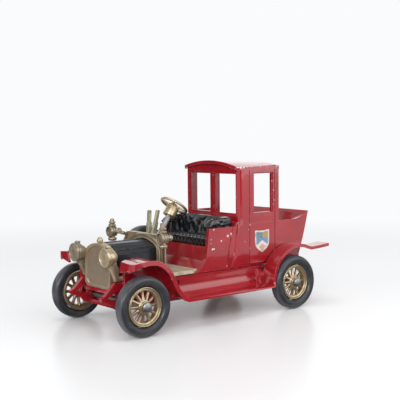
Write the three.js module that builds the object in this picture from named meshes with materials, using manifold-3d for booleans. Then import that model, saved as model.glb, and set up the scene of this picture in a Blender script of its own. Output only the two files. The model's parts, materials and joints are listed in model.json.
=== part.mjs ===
// Die-cast model of a veteran town car: a red body on a red chassis casting, black bonnet and bench,
// plated trim, and spoked wheels that run free on riveted axles.
// Millimetres. +X is forward, +Y is the car's left and +Z is up. Places along the car are measured from
// the middle of the wheelbase, and the car is then moved so that its origin lies on the ground below the
// middle of its length.

import * as THREE from 'three';
import { mergeVertices } from 'three/addons/utils/BufferGeometryUtils.js';
import Module from 'manifold-3d';

const wasm = await Module();
wasm.setup();

// Clearance between neighbouring pieces
const GAP = 0.3;

// Wheels, tyres and axles
const WHEELBASE = 63;
const WHEEL_CLEARANCE = 0.9;
const TYRE_RADIUS = 9.12;
const TYRE_WIDTH = 4;
const TYRE_BORE_RADIUS = 6.3;
const RIM_WIDTH = 2.4;
const RIM_WALL = 0.95;
const RIM_FLANGE_HEIGHT = 0.5;
const RIM_FLANGE_THICKNESS = 0.4;
const HUB_RADIUS = 1.9;
const HUB_LENGTH = 3;
const SPOKE_COUNT = 12;
const SPOKE_WIDTH = 0.85;
const SPOKE_DEPTH = 0.9;
const AXLE_RADIUS = 0.85;
const AXLE_HEAD_RADIUS = 1.45;
const AXLE_HEAD_LENGTH = 0.9;

// Chassis casting: deck, side rails, aprons and running boards
const DECK_TOP = 15.3;
const DECK_THICKNESS = 1.1;
const DECK_FRONT = 32.6;
const DECK_REAR = -38.5;
const APRON_OUTER = 12.9;
const APRON_THICKNESS = 1;
const RAIL_MIDDLE = 8.9;
const RAIL_THICKNESS = 1.4;
const RAIL_BOTTOM = 7.1;
const RAIL_RISE_DEPTH = 2;
const RAIL_RISE_REACH = 9.5;
const SPRING_REACH = 3.4;
const SPRING_RISE = 1.6;
const SPRING_SLOT_HEIGHT = 2.5;
const SPRING_LEAF = 0.9;
const DUMB_IRON_TIP = 40.4;
const DUMB_IRON_TIP_HEIGHT = 11;
const DUMB_IRON_TIP_DEPTH = 1.5;
const CROSS_BAR_DEPTH = 1.4;
const CROSS_BAR_HEIGHT = 1.2;
const BOARD_TOP = 9.1;
const BOARD_THICKNESS = 0.7;
const BOARD_FILLET = 3.6;
const GUARD_OVERLAP = 1.3;

// Mudguards, as [forward, up] from the wheel's centre along the top of the sheet
const FRONT_GUARD_LINE = [
  [5.6, 13.4], [1.5, 13.4], [-2.2, 13.6], [-6, 12.8], [-9.2, 10.4],
  [-10.9, 7.8], [-12.8, 4.2], [-15.2, 1.4], [-18.5, 0],
];
const REAR_GUARD_LINE = [
  [10.6, -0.5], [10.3, 3.2], [8.9, 6.8], [6.6, 9.5], [3.5, 11.6],
  [0.5, 12.7], [-2.3, 13], [-5.5, 12.5], [-8.5, 11.7], [-12.6, 11.5], [-16.9, 11.8],
];
const GUARD_THICKNESS = 0.8;
const GUARD_LIP_HEIGHT = 1.4;
const GUARD_LIP_THICKNESS = 0.9;
const NOSE_LIP_HEIGHT = 3.7;
const NOSE_INNER_TOP = 15.7;
const NOSE_INNER_BOTTOM = 14.4;
const NOSE_FLARE = 0.8;
const NOSE_CORNER_RADIUS = 1.6;
const GUARD_WALL_FRONT = 34.5;

// Tool box on the left board, and the spare tyre standing on the right one
const TOOL_BOX_FRONT = -17.6;
const TOOL_BOX_LENGTH = 4.6;
const TOOL_BOX_WIDTH = 2.2;
const TOOL_BOX_HEIGHT = 4.9;
const TOOL_BOX_LID_DROP = 1.8;
const SPARE_X = 5.9;
const SPARE_INSET = 3.1;
const SPARE_BOTTOM = 10.5;
const CRADLE_LENGTH = 11;
const CRADLE_HEIGHT = 3.4;
const CRADLE_CHEEK = 0.5;

// Baseplate and the rivets that hold it
const BASE_THICKNESS = 1.3;
const BASE_FRONT = 33.5;
const BASE_REAR = -35.5;
const RIVET_FRONT_X = 12;
const RIVET_REAR_X = -17;
const RIVET_RADIUS = 0.8;
const RIVET_HEAD_RADIUS = 1.5;
const RIVET_HEAD_LENGTH = 0.4;
const POST_RADIUS = 1.9;

// Body shell
const BODY_HALF_WIDTH = 14.1;
const BODY_WALL = 1.2;
const CAB_FRONT = -11.2;
const CAB_REAR = -29.3;
const ROOF_FRONT = -10;
const ROOF_HALF_WIDTH = 14.3;
const ROOF_EAVE_HEIGHT = 49;
const ROOF_CROWN_HEIGHT = 51.1;
const ROOF_REAR_CROWN_HEIGHT = 50.5;
const ROOF_THICKNESS = 1.1;
const WINDOW_BOTTOM = 33.5;
const WINDOW_TOP = 46.6;
const WINDSCREEN_POST_WIDTH = 2.8;
const WINDSCREEN_OUTER = 11.7;
const REBATE_WIDTH = 0.8;
const REBATE_DEPTH = 0.35;
const LEFT_WINDOW_FRONT = -18;
const LEFT_WINDOW_REAR = -26.1;
const RIGHT_WINDOW_FRONT = -15.2;
const RIGHT_WINDOW_REAR = -22.6;
const RIGHT_POST_REAR = -25.8;
const DOOR_FRONT_MARGIN = 2.4;
const DOOR_REAR_MARGIN = 1.3;
const DOOR_LINE_WIDTH = 0.3;
const DOOR_LINE_DEPTH = 0.3;
const BELT_HEIGHT = 32.65;
const TUB_SIDE_HEIGHT = 30.1;
const TUB_REAR_HEIGHT = 32.7;
const TUB_REAR_TOP = -43.9;
const TUB_REAR_BOTTOM = -38.4;
const TUB_SWEEP_LENGTH = 8;
const SEAT_SIDE_OUTER = 13.3;
const SEAT_SIDE_TOP = 29.4;
const SEAT_SIDE_FRONT = 1.25;
const SEAT_SIDE_TIP = 7;
const SEAT_BOX_TOP = 23.4;
const SEAT_BOX_SETBACK = 1;
const CAB_PANEL_TIP = -7.8;
const CAB_PANEL_TOP = 30.7;
const CAB_STRIP_WIDTH = 2;

// Front bench
const BENCH_CUSHION_HEIGHT = 3.3;
const BENCH_CUSHION_REAR = -6.2;
const BENCH_BACK_HEIGHT = 32.6;
const BENCH_PLEAT_COUNT = 12;
const BENCH_PLEAT_BEVEL = 0.3;
const BENCH_ARM_WIDTH = 3.5;
const BENCH_ARM_HEIGHT = 3;
const BENCH_ARM_REAR = -8.1;
const BENCH_REAR = -9.4;
const BENCH_ARM_BEVEL = 0.5;

// Bonnet, radiator, dash and floor tray
const BONNET_HALF_WIDTH = 7;
const BONNET_SHOULDER_HEIGHT = 24.3;
const BONNET_CROWN_HEIGHT = 26.5;
const BONNET_WALL = 0.9;
const BONNET_RIDGES = [-6.2, -3.2, 0, 3.2, 6.2];
const BONNET_RIDGE_WIDTH = 0.5;
const BONNET_RIDGE_HEIGHT = 0.2;
const RADIATOR_FRONT = 35.6;
const RADIATOR_DEPTH = 2.6;
const RADIATOR_HALF_WIDTH = 7.2;
const RADIATOR_BOTTOM = 12.8;
const RADIATOR_SHOULDER_HEIGHT = 23.8;
const RADIATOR_CROWN_HEIGHT = 26.6;
const RADIATOR_CHAMFER = 2.1;
const RADIATOR_BORDER = 0.9;
const RADIATOR_RECESS = 0.5;
const FILLER_RADIUS = 1;
const FILLER_NECK = 0.7;
const DASH_REAR = 15.9;
const DASH_THICKNESS = 1.2;
const DASH_HALF_WIDTH = 11.2;
const DASH_TOP = 28.3;
const DASH_CORNER_RADIUS = 2.5;
const DASH_BEAD_WIDTH = 0.9;
const DASH_BEAD_HEIGHT = 0.6;
const DASH_ARCH_WIDTH = 2.1;
const DASH_ARCH_STEP = 0.3;
const TRAY_THICKNESS = 1.1;
const TRAY_FLOOR_HALF_WIDTH = 12.7;
const TRAY_BONNET_HALF_WIDTH = 8.2;

// Lamps
const HEADLAMP_FACE_X = 38.7;
const HEADLAMP_OFFSET = 8.8;
const HEADLAMP_HEIGHT = 23.2;
const HEADLAMP_RADIUS = 2.95;
const HEADLAMP_LENGTH = 4.5;
const HEADLAMP_LUG_RADIUS = 0.7;
const HEADLAMP_LUG_HEIGHT = 1;
const BRACKET_THICKNESS = 1.2;
const SIDE_LAMP_FACE_X = 22;
const SIDE_LAMP_OFFSET = 14.1;
const SIDE_LAMP_HEIGHT = 28;
const SIDE_LAMP_RADIUS = 1.85;
const SIDE_LAMP_LENGTH = 3.4;
const SIDE_LAMP_ARM_RADIUS = 0.6;
const CHIMNEY_HEIGHT = 4.3;
const FONT_DEPTH = 3.1;

// Steering and levers
const STEERING_OFFSET = 6;
const COLUMN_FOOT_X = 13.9;
const COLUMN_RADIUS = 0.9;
const STEERING_WHEEL_X = 0.7;
const STEERING_WHEEL_HEIGHT = 36;
const STEERING_WHEEL_RADIUS = 5.1;
const STEERING_RIM_RADIUS = 0.45;
const STEERING_SPOKES = 4;
const BOSS_RADIUS = 2.2;
const BOSS_LENGTH = 4.2;
const BOSS_SOCKET_DEPTH = 2;
const LEVER_THICKNESS = 1.1;
const LEVER_WIDTH = 1.6;
const LEVER_TIP_WIDTH = 1.1;
const LEVER_STEP_HEIGHT = 30.6;
const LEVER_TOP_HEIGHT = 34.4;
const BRAKE_LEVER_OFFSET = 11.8;
const BRAKE_LEVER_FOOT_X = 7.8;
const BRAKE_LEVER_TOP_X = 6.9;
const GEAR_LEVER_OFFSET = 10;
const GEAR_LEVER_FOOT_X = 9;
const GEAR_LEVER_TOP_X = 4.7;

// Smoothness of round work
const TYRE_SIDES = 28;
const WHEEL_SIDES = 24;
const ROUND_SIDES = 18;
const SMALL_SIDES = 10;
const CURVE_STEPS = 6;
const GUARD_STEPS = 20;
const ARCH_STEPS = 14;

// Heights and places that follow from the sizes above
const AXLE_HEIGHT = TYRE_RADIUS;
const FRONT_WHEEL_X = WHEELBASE / 2;
const REAR_WHEEL_X = -WHEELBASE / 2;
const BORE_RADIUS = AXLE_RADIUS + GAP;
const BASE_TOP = AXLE_HEIGHT - AXLE_RADIUS - GAP;
const BASE_BOTTOM = BASE_TOP - BASE_THICKNESS;
const DECK_BOTTOM = DECK_TOP - DECK_THICKNESS;
const BODY_BOTTOM = DECK_TOP + GAP;
const BODY_FLOOR_TOP = BODY_BOTTOM + BODY_WALL;
const BODY_INNER = BODY_HALF_WIDTH - BODY_WALL;
const TRAY_TOP = BODY_BOTTOM + TRAY_THICKNESS;
const TRAY_SEAT = TRAY_TOP + GAP;
const GUARD_INNER_REAR = BODY_HALF_WIDTH + GAP;
const WHEEL_INNER_REACH = TYRE_WIDTH / 2 + RIM_FLANGE_THICKNESS;
const WHEEL_MIDDLE = GUARD_INNER_REAR + APRON_THICKNESS + WHEEL_CLEARANCE + WHEEL_INNER_REACH;
const SIDE_REACH = WHEEL_MIDDLE + GUARD_OVERLAP;
const SPARE_OFFSET = SIDE_REACH - SPARE_INSET;
const APRON_INNER = APRON_OUTER - APRON_THICKNESS;
const DASH_FRONT = DASH_REAR + DASH_THICKNESS;
const RADIATOR_REAR = RADIATOR_FRONT - RADIATOR_DEPTH;
const BONNET_FRONT = RADIATOR_REAR - GAP;
const BONNET_REAR = DASH_FRONT + GAP;
const SEAT_SIDE_INNER = SEAT_SIDE_OUTER - BODY_WALL;
const HEEL_FOOT_X = SEAT_SIDE_TIP - 2 * SEAT_BOX_SETBACK;
const NOSE_X = FRONT_WHEEL_X + FRONT_GUARD_LINE[0][0];
const TAIL_X = REAR_WHEEL_X + REAR_GUARD_LINE.at(-1)[0];
const SPARE_HEIGHT = SPARE_BOTTOM + TYRE_RADIUS;
const OVER = 1;
const TALL = 60;

// Solids from three.js geometries, joined and cut as closed bodies

function solid(geometry) {
  const bare = new THREE.BufferGeometry();
  bare.setAttribute('position', geometry.getAttribute('position'));
  bare.setIndex(geometry.index);
  const merged = mergeVertices(bare, 1e-4);
  const corners = merged.index.array;
  const place = (i) => new THREE.Vector3().fromBufferAttribute(merged.getAttribute('position'), i);
  const faces = [];
  let volume = 0;
  for (let i = 0; i < corners.length; i += 3) {
    const [a, b, c] = corners.slice(i, i + 3);
    if (a !== b && b !== c && c !== a) {
      faces.push([a, b, c]);
      volume += place(a).dot(place(b).cross(place(c)));
    }
  }
  const outward = volume > 0 ? faces : faces.map(([a, b, c]) => [a, c, b]);
  return new wasm.Manifold(new wasm.Mesh({
    numProp: 3,
    vertProperties: Float32Array.from(merged.getAttribute('position').array),
    triVerts: Uint32Array.from(outward.flat()),
  }));
}

function geometryOf(body) {
  const { vertProperties, triVerts } = body.getMesh();
  const geometry = new THREE.BufferGeometry();
  geometry.setAttribute('position', new THREE.BufferAttribute(vertProperties, 3));
  geometry.setIndex(new THREE.BufferAttribute(triVerts, 1));
  geometry.computeVertexNormals();
  return geometry;
}

const join = (bodies) => bodies.reduce((all, body) => all.add(body));
const cut = (body, tools) => tools.reduce((rest, tool) => rest.subtract(tool), body);

function block([x0, x1], [y0, y1], [z0, z1]) {
  const geometry = new THREE.BoxGeometry(x1 - x0, y1 - y0, z1 - z0);
  geometry.translate((x0 + x1) / 2, (y0 + y1) / 2, (z0 + z1) / 2);
  return solid(geometry);
}

function outline(points) {
  return new THREE.Shape(points.map(([a, b]) => new THREE.Vector2(a, b)));
}

function extruded(shape, depth) {
  return new THREE.ExtrudeGeometry(shape, { depth, bevelEnabled: false, curveSegments: CURVE_STEPS });
}

// A plate cut to an outline in X and Z, standing between two values of Y
function sidePlate(shape, [y0, y1]) {
  return solid(extruded(shape, y1 - y0).rotateX(Math.PI / 2).translate(0, y1, 0));
}

// The same plate on both sides of the car
function sidePlates(shape, [inner, outer]) {
  return sidePlate(shape, [inner, outer]).add(sidePlate(shape, [-outer, -inner]));
}

const TURN_TO_FRONT = new THREE.Matrix4().makeBasis(
  new THREE.Vector3(0, 1, 0), new THREE.Vector3(0, 0, 1), new THREE.Vector3(1, 0, 0));

// A plate cut to an outline in Y and Z, standing between two values of X
function frontPlate(shape, [x0, x1]) {
  return solid(extruded(shape, x1 - x0).applyMatrix4(TURN_TO_FRONT).translate(x0, 0, 0));
}

// A plate cut to an outline in X and Y, lying between two heights
function floorPlate(shape, [z0, z1]) {
  return solid(extruded(shape, z1 - z0).translate(0, 0, z0));
}

function turnedGeometry(profile, sides) {
  return new THREE.LatheGeometry(profile.map(([r, h]) => new THREE.Vector2(r, h)), sides);
}

// Turned solids, from [radius, distance along the axis] profiles
const turnedAlongX = (profile, sides) => turnedGeometry(profile, sides).rotateZ(-Math.PI / 2);
const turnedAlongZ = (profile, sides) => turnedGeometry(profile, sides).rotateX(Math.PI / 2);

// A round bar between two points
function rod(from, to, radius, sides) {
  const along = new THREE.Vector3().subVectors(to, from);
  const geometry = new THREE.CylinderGeometry(radius, radius, along.length(), sides);
  const turn = new THREE.Quaternion().setFromUnitVectors(new THREE.Vector3(0, 1, 0), along.normalize());
  geometry.applyQuaternion(turn);
  const middle = new THREE.Vector3().addVectors(from, to).multiplyScalar(0.5);
  return solid(geometry.translate(middle.x, middle.y, middle.z));
}

// A cross drilling from one side of the car to the other
function crossBore(x, z, radius) {
  const reach = SIDE_REACH + OVER;
  return rod(new THREE.Vector3(x, -reach, z), new THREE.Vector3(x, reach, z), radius, SMALL_SIDES);
}

// Outline of an upright panel with an arched top
function archOutline(halfWidth, bottom, shoulder, crown) {
  const rise = crown - shoulder;
  const radius = (halfWidth ** 2 + rise ** 2) / (2 * rise);
  const sweep = Math.asin(halfWidth / radius);
  const points = [[-halfWidth, bottom], [halfWidth, bottom]];
  for (let i = 0; i <= ARCH_STEPS; i += 1) {
    const angle = sweep * (1 - (2 * i) / ARCH_STEPS);
    points.push([radius * Math.sin(angle), crown - radius + radius * Math.cos(angle)]);
  }
  return outline(points);
}

// A smooth line through points given from a wheel's centre
function guardCurve(line, wheelX) {
  return new THREE.SplineCurve(line.map(([x, z]) => new THREE.Vector2(wheelX + x, AXLE_HEIGHT + z)));
}

// Outline of a bent strip that lies below a curve
function stripOutline(curve, thickness) {
  const top = [];
  const under = [];
  for (let i = 0; i <= GUARD_STEPS; i += 1) {
    const point = curve.getPointAt(i / GUARD_STEPS);
    const along = curve.getTangentAt(i / GUARD_STEPS);
    const across = new THREE.Vector2(-along.y, along.x);
    if (across.y < 0 || Math.abs(along.x) < 0.02) {
      across.negate();
    }
    const inward = point.clone().addScaledVector(across, -thickness);
    top.push([point.x, point.y]);
    under.unshift([inward.x, inward.y]);
  }
  return outline([...top, ...under]);
}

// Outline of all that lies between a curve and a level below it
function apronOutline(curve, level, [rear, front]) {
  const points = curve.getSpacedPoints(GUARD_STEPS)
    .filter((point) => point.x < front && point.x > rear && point.y > level)
    .map((point) => [point.x, point.y - GUARD_THICKNESS / 2]);
  const ends = [points.at(-1)[0], points[0][0]];
  return outline([...points, [ends[0], level], [ends[1], level]]);
}

// Chassis casting

const frontGuard = guardCurve(FRONT_GUARD_LINE, FRONT_WHEEL_X);
const rearGuard = guardCurve(REAR_GUARD_LINE, REAR_WHEEL_X);

function frontGuards() {
  const lipInner = SIDE_REACH - GUARD_LIP_THICKNESS;
  const noseTop = AXLE_HEIGHT + FRONT_GUARD_LINE[0][1];
  const noseBottom = noseTop - NOSE_LIP_HEIGHT;
  const [second] = FRONT_GUARD_LINE.slice(1);
  const noseSide = outline([
    [NOSE_X, noseTop], [NOSE_X, noseBottom],
    [FRONT_WHEEL_X + second[0], AXLE_HEIGHT + second[1] - GUARD_LIP_HEIGHT],
    [FRONT_WHEEL_X + second[0], AXLE_HEIGHT + second[1]],
  ]);
  const noseReach = SIDE_REACH + NOSE_FLARE;
  const rear = FRONT_WHEEL_X + FRONT_GUARD_LINE.at(-1)[0] - OVER;
  const plan = (side, inner) => {
    const shape = new THREE.Shape();
    shape.moveTo(rear, side * (APRON_INNER - OVER));
    shape.lineTo(FRONT_WHEEL_X + FRONT_GUARD_LINE[2][0], side * (APRON_INNER - OVER));
    shape.lineTo(NOSE_X, side * inner);
    shape.lineTo(NOSE_X, side * (noseReach - NOSE_CORNER_RADIUS));
    shape.quadraticCurveTo(NOSE_X, side * noseReach, NOSE_X - NOSE_CORNER_RADIUS, side * noseReach);
    shape.lineTo(FRONT_WHEEL_X + second[0], side * SIDE_REACH);
    shape.lineTo(rear, side * SIDE_REACH);
    return floorPlate(shape, [BOARD_TOP - BOARD_THICKNESS, TALL]);
  };
  const front = (side) => frontPlate(outline([
    [side * NOSE_INNER_BOTTOM, noseBottom], [side * noseReach, noseBottom + NOSE_FLARE],
    [side * noseReach, noseTop], [side * NOSE_INNER_TOP, noseTop],
  ]), [NOSE_X - GUARD_THICKNESS, NOSE_X]);
  const sheets = join([
    sidePlates(stripOutline(frontGuard, GUARD_THICKNESS), [APRON_INNER, noseReach]),
    sidePlates(stripOutline(frontGuard, GUARD_LIP_HEIGHT), [lipInner, noseReach]),
    sidePlates(noseSide, [lipInner, noseReach]),
  ]);
  const sides = [1, -1];
  return join(sides.flatMap((side) => [
    sheets.intersect(plan(side, NOSE_INNER_TOP)),
    front(side).intersect(plan(side, NOSE_INNER_BOTTOM)),
  ]));
}

function rearGuards() {
  const lipInner = SIDE_REACH - GUARD_LIP_THICKNESS;
  const guards = join([
    sidePlates(stripOutline(rearGuard, GUARD_THICKNESS), [GUARD_INNER_REAR, SIDE_REACH]),
    sidePlates(stripOutline(rearGuard, GUARD_THICKNESS + GAP), [lipInner, SIDE_REACH]),
    sidePlates(apronOutline(rearGuard, DECK_BOTTOM, [DECK_REAR, REAR_WHEEL_X + REAR_GUARD_LINE[1][0]]),
      [GUARD_INNER_REAR, GUARD_INNER_REAR + APRON_THICKNESS]),
  ]);
  return guards.intersect(block([TAIL_X, 0], [-TALL, TALL], [0, TALL]));
}

function rails() {
  const inner = RAIL_MIDDLE - RAIL_THICKNESS / 2;
  const outer = RAIL_MIDDLE + RAIL_THICKNESS / 2;
  const tipTop = DUMB_IRON_TIP_HEIGHT + DUMB_IRON_TIP_DEPTH / 2;
  const tipBottom = DUMB_IRON_TIP_HEIGHT - DUMB_IRON_TIP_DEPTH / 2;
  const riseBottom = DECK_BOTTOM - RAIL_RISE_DEPTH;
  const front = outline([
    [DUMB_IRON_TIP, tipTop - DUMB_IRON_TIP_DEPTH / 3], [DUMB_IRON_TIP - GAP, tipBottom],
    [FRONT_WHEEL_X + SPRING_REACH + RAIL_THICKNESS, RAIL_BOTTOM + SPRING_RISE],
    [FRONT_WHEEL_X + SPRING_REACH, RAIL_BOTTOM], [FRONT_WHEEL_X - SPRING_REACH, RAIL_BOTTOM],
    [FRONT_WHEEL_X - RAIL_RISE_REACH, riseBottom], [FRONT_WHEEL_X - RAIL_RISE_REACH, DECK_TOP],
    [RADIATOR_FRONT - GAP, DECK_TOP],
    [DUMB_IRON_TIP - DUMB_IRON_TIP_DEPTH, tipTop],
  ]);
  const slotBottom = AXLE_HEIGHT + SPRING_LEAF;
  const slotTop = slotBottom + SPRING_SLOT_HEIGHT;
  const slotRear = FRONT_WHEEL_X + SPRING_REACH - OVER;
  const slot = outline([
    [(DUMB_IRON_TIP + RADIATOR_FRONT) / 2, DUMB_IRON_TIP_HEIGHT], [RADIATOR_FRONT - GAP, slotTop],
    [slotRear, slotTop], [slotRear, slotBottom], [RADIATOR_FRONT, slotBottom],
  ]);
  const rear = outline([
    [REAR_WHEEL_X + RAIL_RISE_REACH, DECK_TOP], [REAR_WHEEL_X + RAIL_RISE_REACH, riseBottom],
    [REAR_WHEEL_X + SPRING_REACH, RAIL_BOTTOM], [REAR_WHEEL_X - SPRING_REACH, RAIL_BOTTOM],
    [DECK_REAR, riseBottom], [DECK_REAR, DECK_TOP],
  ]);
  const irons = cut(sidePlates(front, [inner, outer]), [sidePlates(slot, [inner - OVER, outer + OVER])]);
  const barTop = RADIATOR_BOTTOM - GAP;
  const barMiddle = (RADIATOR_FRONT + RADIATOR_REAR) / 2;
  const bar = block([barMiddle - CROSS_BAR_DEPTH / 2, barMiddle + CROSS_BAR_DEPTH / 2],
    [-RAIL_MIDDLE, RAIL_MIDDLE], [barTop - CROSS_BAR_HEIGHT, barTop]);
  return join([irons, sidePlates(rear, [inner, outer]), bar]);
}

function runningBoards() {
  const front = FRONT_WHEEL_X + FRONT_GUARD_LINE.at(-1)[0];
  const rear = REAR_WHEEL_X + REAR_GUARD_LINE[0][0];
  const boardBottom = BOARD_TOP - BOARD_THICKNESS;
  const section = new THREE.Shape();
  section.moveTo(APRON_INNER, DECK_TOP);
  section.lineTo(APRON_INNER, boardBottom);
  section.lineTo(SIDE_REACH, boardBottom);
  section.lineTo(SIDE_REACH, BOARD_TOP);
  section.lineTo(APRON_OUTER + BOARD_FILLET, BOARD_TOP);
  section.absarc(APRON_OUTER + BOARD_FILLET, BOARD_TOP + BOARD_FILLET, BOARD_FILLET, -Math.PI / 2, -Math.PI, true);
  section.lineTo(APRON_OUTER, DECK_TOP);
  const mirrored = new THREE.Shape(section.getPoints(CURVE_STEPS).map(({ x, y }) => new THREE.Vector2(-x, y)));
  const boards = [section, mirrored].map((shape) => frontPlate(shape, [rear - OVER / 2, front + OVER / 2]));
  const wall = apronOutline(frontGuard, boardBottom, [front, GUARD_WALL_FRONT]);
  return join([...boards, sidePlates(wall, [APRON_INNER, APRON_OUTER])]);
}

function toolBox() {
  const outer = APRON_OUTER + TOOL_BOX_WIDTH;
  const top = BOARD_TOP + TOOL_BOX_HEIGHT;
  const bottom = BOARD_TOP - BOARD_THICKNESS / 2;
  const section = outline([
    [APRON_INNER, bottom], [outer, bottom], [outer, top - TOOL_BOX_LID_DROP], [APRON_OUTER, top], [APRON_INNER, top],
  ]);
  return frontPlate(section, [TOOL_BOX_FRONT - TOOL_BOX_LENGTH, TOOL_BOX_FRONT]);
}

function spareCradle() {
  const half = TYRE_WIDTH / 2 + GAP;
  const middle = -SPARE_OFFSET;
  const cheeks = [middle - half - CRADLE_CHEEK, middle + half + CRADLE_CHEEK];
  const cradle = block([SPARE_X - CRADLE_LENGTH / 2, SPARE_X + CRADLE_LENGTH / 2],
    [Math.max(cheeks[0], -SIDE_REACH), cheeks[1]], [BOARD_TOP - OVER / 2, BOARD_TOP + CRADLE_HEIGHT]);
  const well = rod(new THREE.Vector3(SPARE_X, middle - half, SPARE_HEIGHT),
    new THREE.Vector3(SPARE_X, middle + half, SPARE_HEIGHT), TYRE_RADIUS + GAP, TYRE_SIDES);
  return cradle.subtract(well);
}

function chassis() {
  const rearInner = GUARD_INNER_REAR + APRON_THICKNESS;
  const rearStart = REAR_WHEEL_X + REAR_GUARD_LINE[2][0];
  const deck = block([DECK_REAR, DECK_FRONT], [-APRON_OUTER, APRON_OUTER], [DECK_BOTTOM, DECK_TOP]);
  const rearDeck = block([DECK_REAR, rearStart], [-rearInner, rearInner], [DECK_BOTTOM, DECK_TOP]);
  const rivetPlaces = [RIVET_FRONT_X, RIVET_REAR_X];
  const upright = (x, radius, low, high) => rod(
    new THREE.Vector3(x, 0, low), new THREE.Vector3(x, 0, high), radius, SMALL_SIDES);
  const posts = rivetPlaces.map((x) => upright(x, POST_RADIUS, BASE_TOP + GAP, DECK_TOP));
  const casting = join([
    deck, rearDeck, rails(), runningBoards(), frontGuards(), rearGuards(), toolBox(), spareCradle(), ...posts,
  ]);
  return cut(casting, [
    crossBore(FRONT_WHEEL_X, AXLE_HEIGHT, BORE_RADIUS),
    crossBore(REAR_WHEEL_X, AXLE_HEIGHT, BORE_RADIUS),
    ...rivetPlaces.map((x) => upright(x, RIVET_RADIUS + GAP, 0, DECK_TOP + OVER)),
  ]);
}

function baseplate() {
  const half = RAIL_MIDDLE - RAIL_THICKNESS / 2 - GAP;
  const plate = block([BASE_REAR, BASE_FRONT], [-half, half], [BASE_BOTTOM, BASE_TOP]);
  const drilled = (x, radius, top) => rod(
    new THREE.Vector3(x, 0, 0), new THREE.Vector3(x, 0, top), radius + GAP, SMALL_SIDES);
  const holes = [RIVET_FRONT_X, RIVET_REAR_X].flatMap((x) => [
    drilled(x, RIVET_RADIUS, DECK_TOP),
    drilled(x, RIVET_HEAD_RADIUS, BASE_BOTTOM + RIVET_HEAD_LENGTH + GAP),
  ]);
  return cut(plate, holes);
}

// A rivet whose head lies flush in the baseplate
function rivet(topHeight) {
  const headTop = BASE_BOTTOM + RIVET_HEAD_LENGTH;
  return solid(turnedAlongZ([
    [0, BASE_BOTTOM], [RIVET_HEAD_RADIUS * 0.8, BASE_BOTTOM], [RIVET_HEAD_RADIUS, headTop],
    [RIVET_RADIUS, headTop], [RIVET_RADIUS, topHeight], [0, topHeight],
  ], SMALL_SIDES));
}

// Body shell

function cabAndTub() {
  const rearMiddle = (TUB_REAR_TOP + TUB_REAR_BOTTOM) / 2 - BODY_WALL / 2;
  const middleHeight = (BODY_BOTTOM + TUB_REAR_HEIGHT) / 2;
  const outer = new THREE.Shape();
  outer.moveTo(CAB_FRONT, BODY_BOTTOM);
  outer.lineTo(CAB_FRONT, TALL);
  outer.lineTo(CAB_REAR, TALL);
  outer.lineTo(CAB_REAR, TUB_SIDE_HEIGHT);
  outer.lineTo(TUB_REAR_TOP + TUB_SWEEP_LENGTH, TUB_SIDE_HEIGHT);
  outer.quadraticCurveTo(TUB_REAR_TOP + TUB_SWEEP_LENGTH / 2, TUB_SIDE_HEIGHT, TUB_REAR_TOP, TUB_REAR_HEIGHT);
  outer.quadraticCurveTo(rearMiddle, middleHeight, TUB_REAR_BOTTOM, BODY_BOTTOM);
  const inner = new THREE.Shape();
  inner.moveTo(CAB_FRONT - BODY_WALL, BODY_FLOOR_TOP);
  inner.lineTo(CAB_FRONT - BODY_WALL, TALL);
  inner.lineTo(TUB_REAR_TOP + BODY_WALL, TALL);
  inner.lineTo(TUB_REAR_TOP + BODY_WALL, TUB_REAR_HEIGHT);
  inner.quadraticCurveTo(rearMiddle + BODY_WALL, middleHeight, TUB_REAR_BOTTOM + BODY_WALL, BODY_FLOOR_TOP);
  const arch = archOutline(BODY_HALF_WIDTH, 0,
    ROOF_EAVE_HEIGHT - ROOF_THICKNESS / 2, ROOF_CROWN_HEIGHT - ROOF_THICKNESS / 2);
  const shell = sidePlate(outer, [-BODY_HALF_WIDTH, BODY_HALF_WIDTH])
    .intersect(frontPlate(arch, [TUB_REAR_TOP - OVER, CAB_FRONT + OVER]));
  return shell.subtract(sidePlate(inner, [-BODY_INNER, BODY_INNER]));
}

// A window with a shallow rebate round it, in the front wall
function windscreen(y0, y1) {
  const wider = REBATE_WIDTH;
  return block([CAB_FRONT - BODY_WALL - OVER, CAB_FRONT + OVER], [y0, y1], [WINDOW_BOTTOM, WINDOW_TOP])
    .add(block([CAB_FRONT - REBATE_DEPTH, CAB_FRONT + OVER], [y0 - wider, y1 + wider],
      [WINDOW_BOTTOM - wider, WINDOW_TOP + wider]));
}

// A side window with its rebate, and the shut lines of the door below and around it
function doorCuts(side, rear, front) {
  const spread = (a, b) => [Math.min(side * a, side * b), Math.max(side * a, side * b)];
  const through = spread(BODY_INNER - OVER, BODY_HALF_WIDTH + OVER);
  const rebate = spread(BODY_HALF_WIDTH - REBATE_DEPTH, BODY_HALF_WIDTH + OVER);
  const groove = spread(BODY_HALF_WIDTH - DOOR_LINE_DEPTH, BODY_HALF_WIDTH + OVER);
  const doorRear = rear - DOOR_REAR_MARGIN;
  const doorFront = front + DOOR_FRONT_MARGIN;
  const line = (middle) => [middle - DOOR_LINE_WIDTH / 2, middle + DOOR_LINE_WIDTH / 2];
  const tall = [BODY_FLOOR_TOP, WINDOW_TOP + DOOR_REAR_MARGIN];
  return [
    block([rear, front], through, [WINDOW_BOTTOM, WINDOW_TOP]),
    block([rear - REBATE_WIDTH / 2, front + REBATE_WIDTH], rebate,
      [WINDOW_BOTTOM - REBATE_WIDTH / 2, WINDOW_TOP + REBATE_WIDTH / 2]),
    block(line(doorRear), groove, tall),
    block(line(doorFront), groove, tall),
    block([doorRear, doorFront], groove, line(BELT_HEIGHT)),
    block([doorRear, doorFront], groove, line(TUB_SIDE_HEIGHT)),
  ];
}

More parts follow.
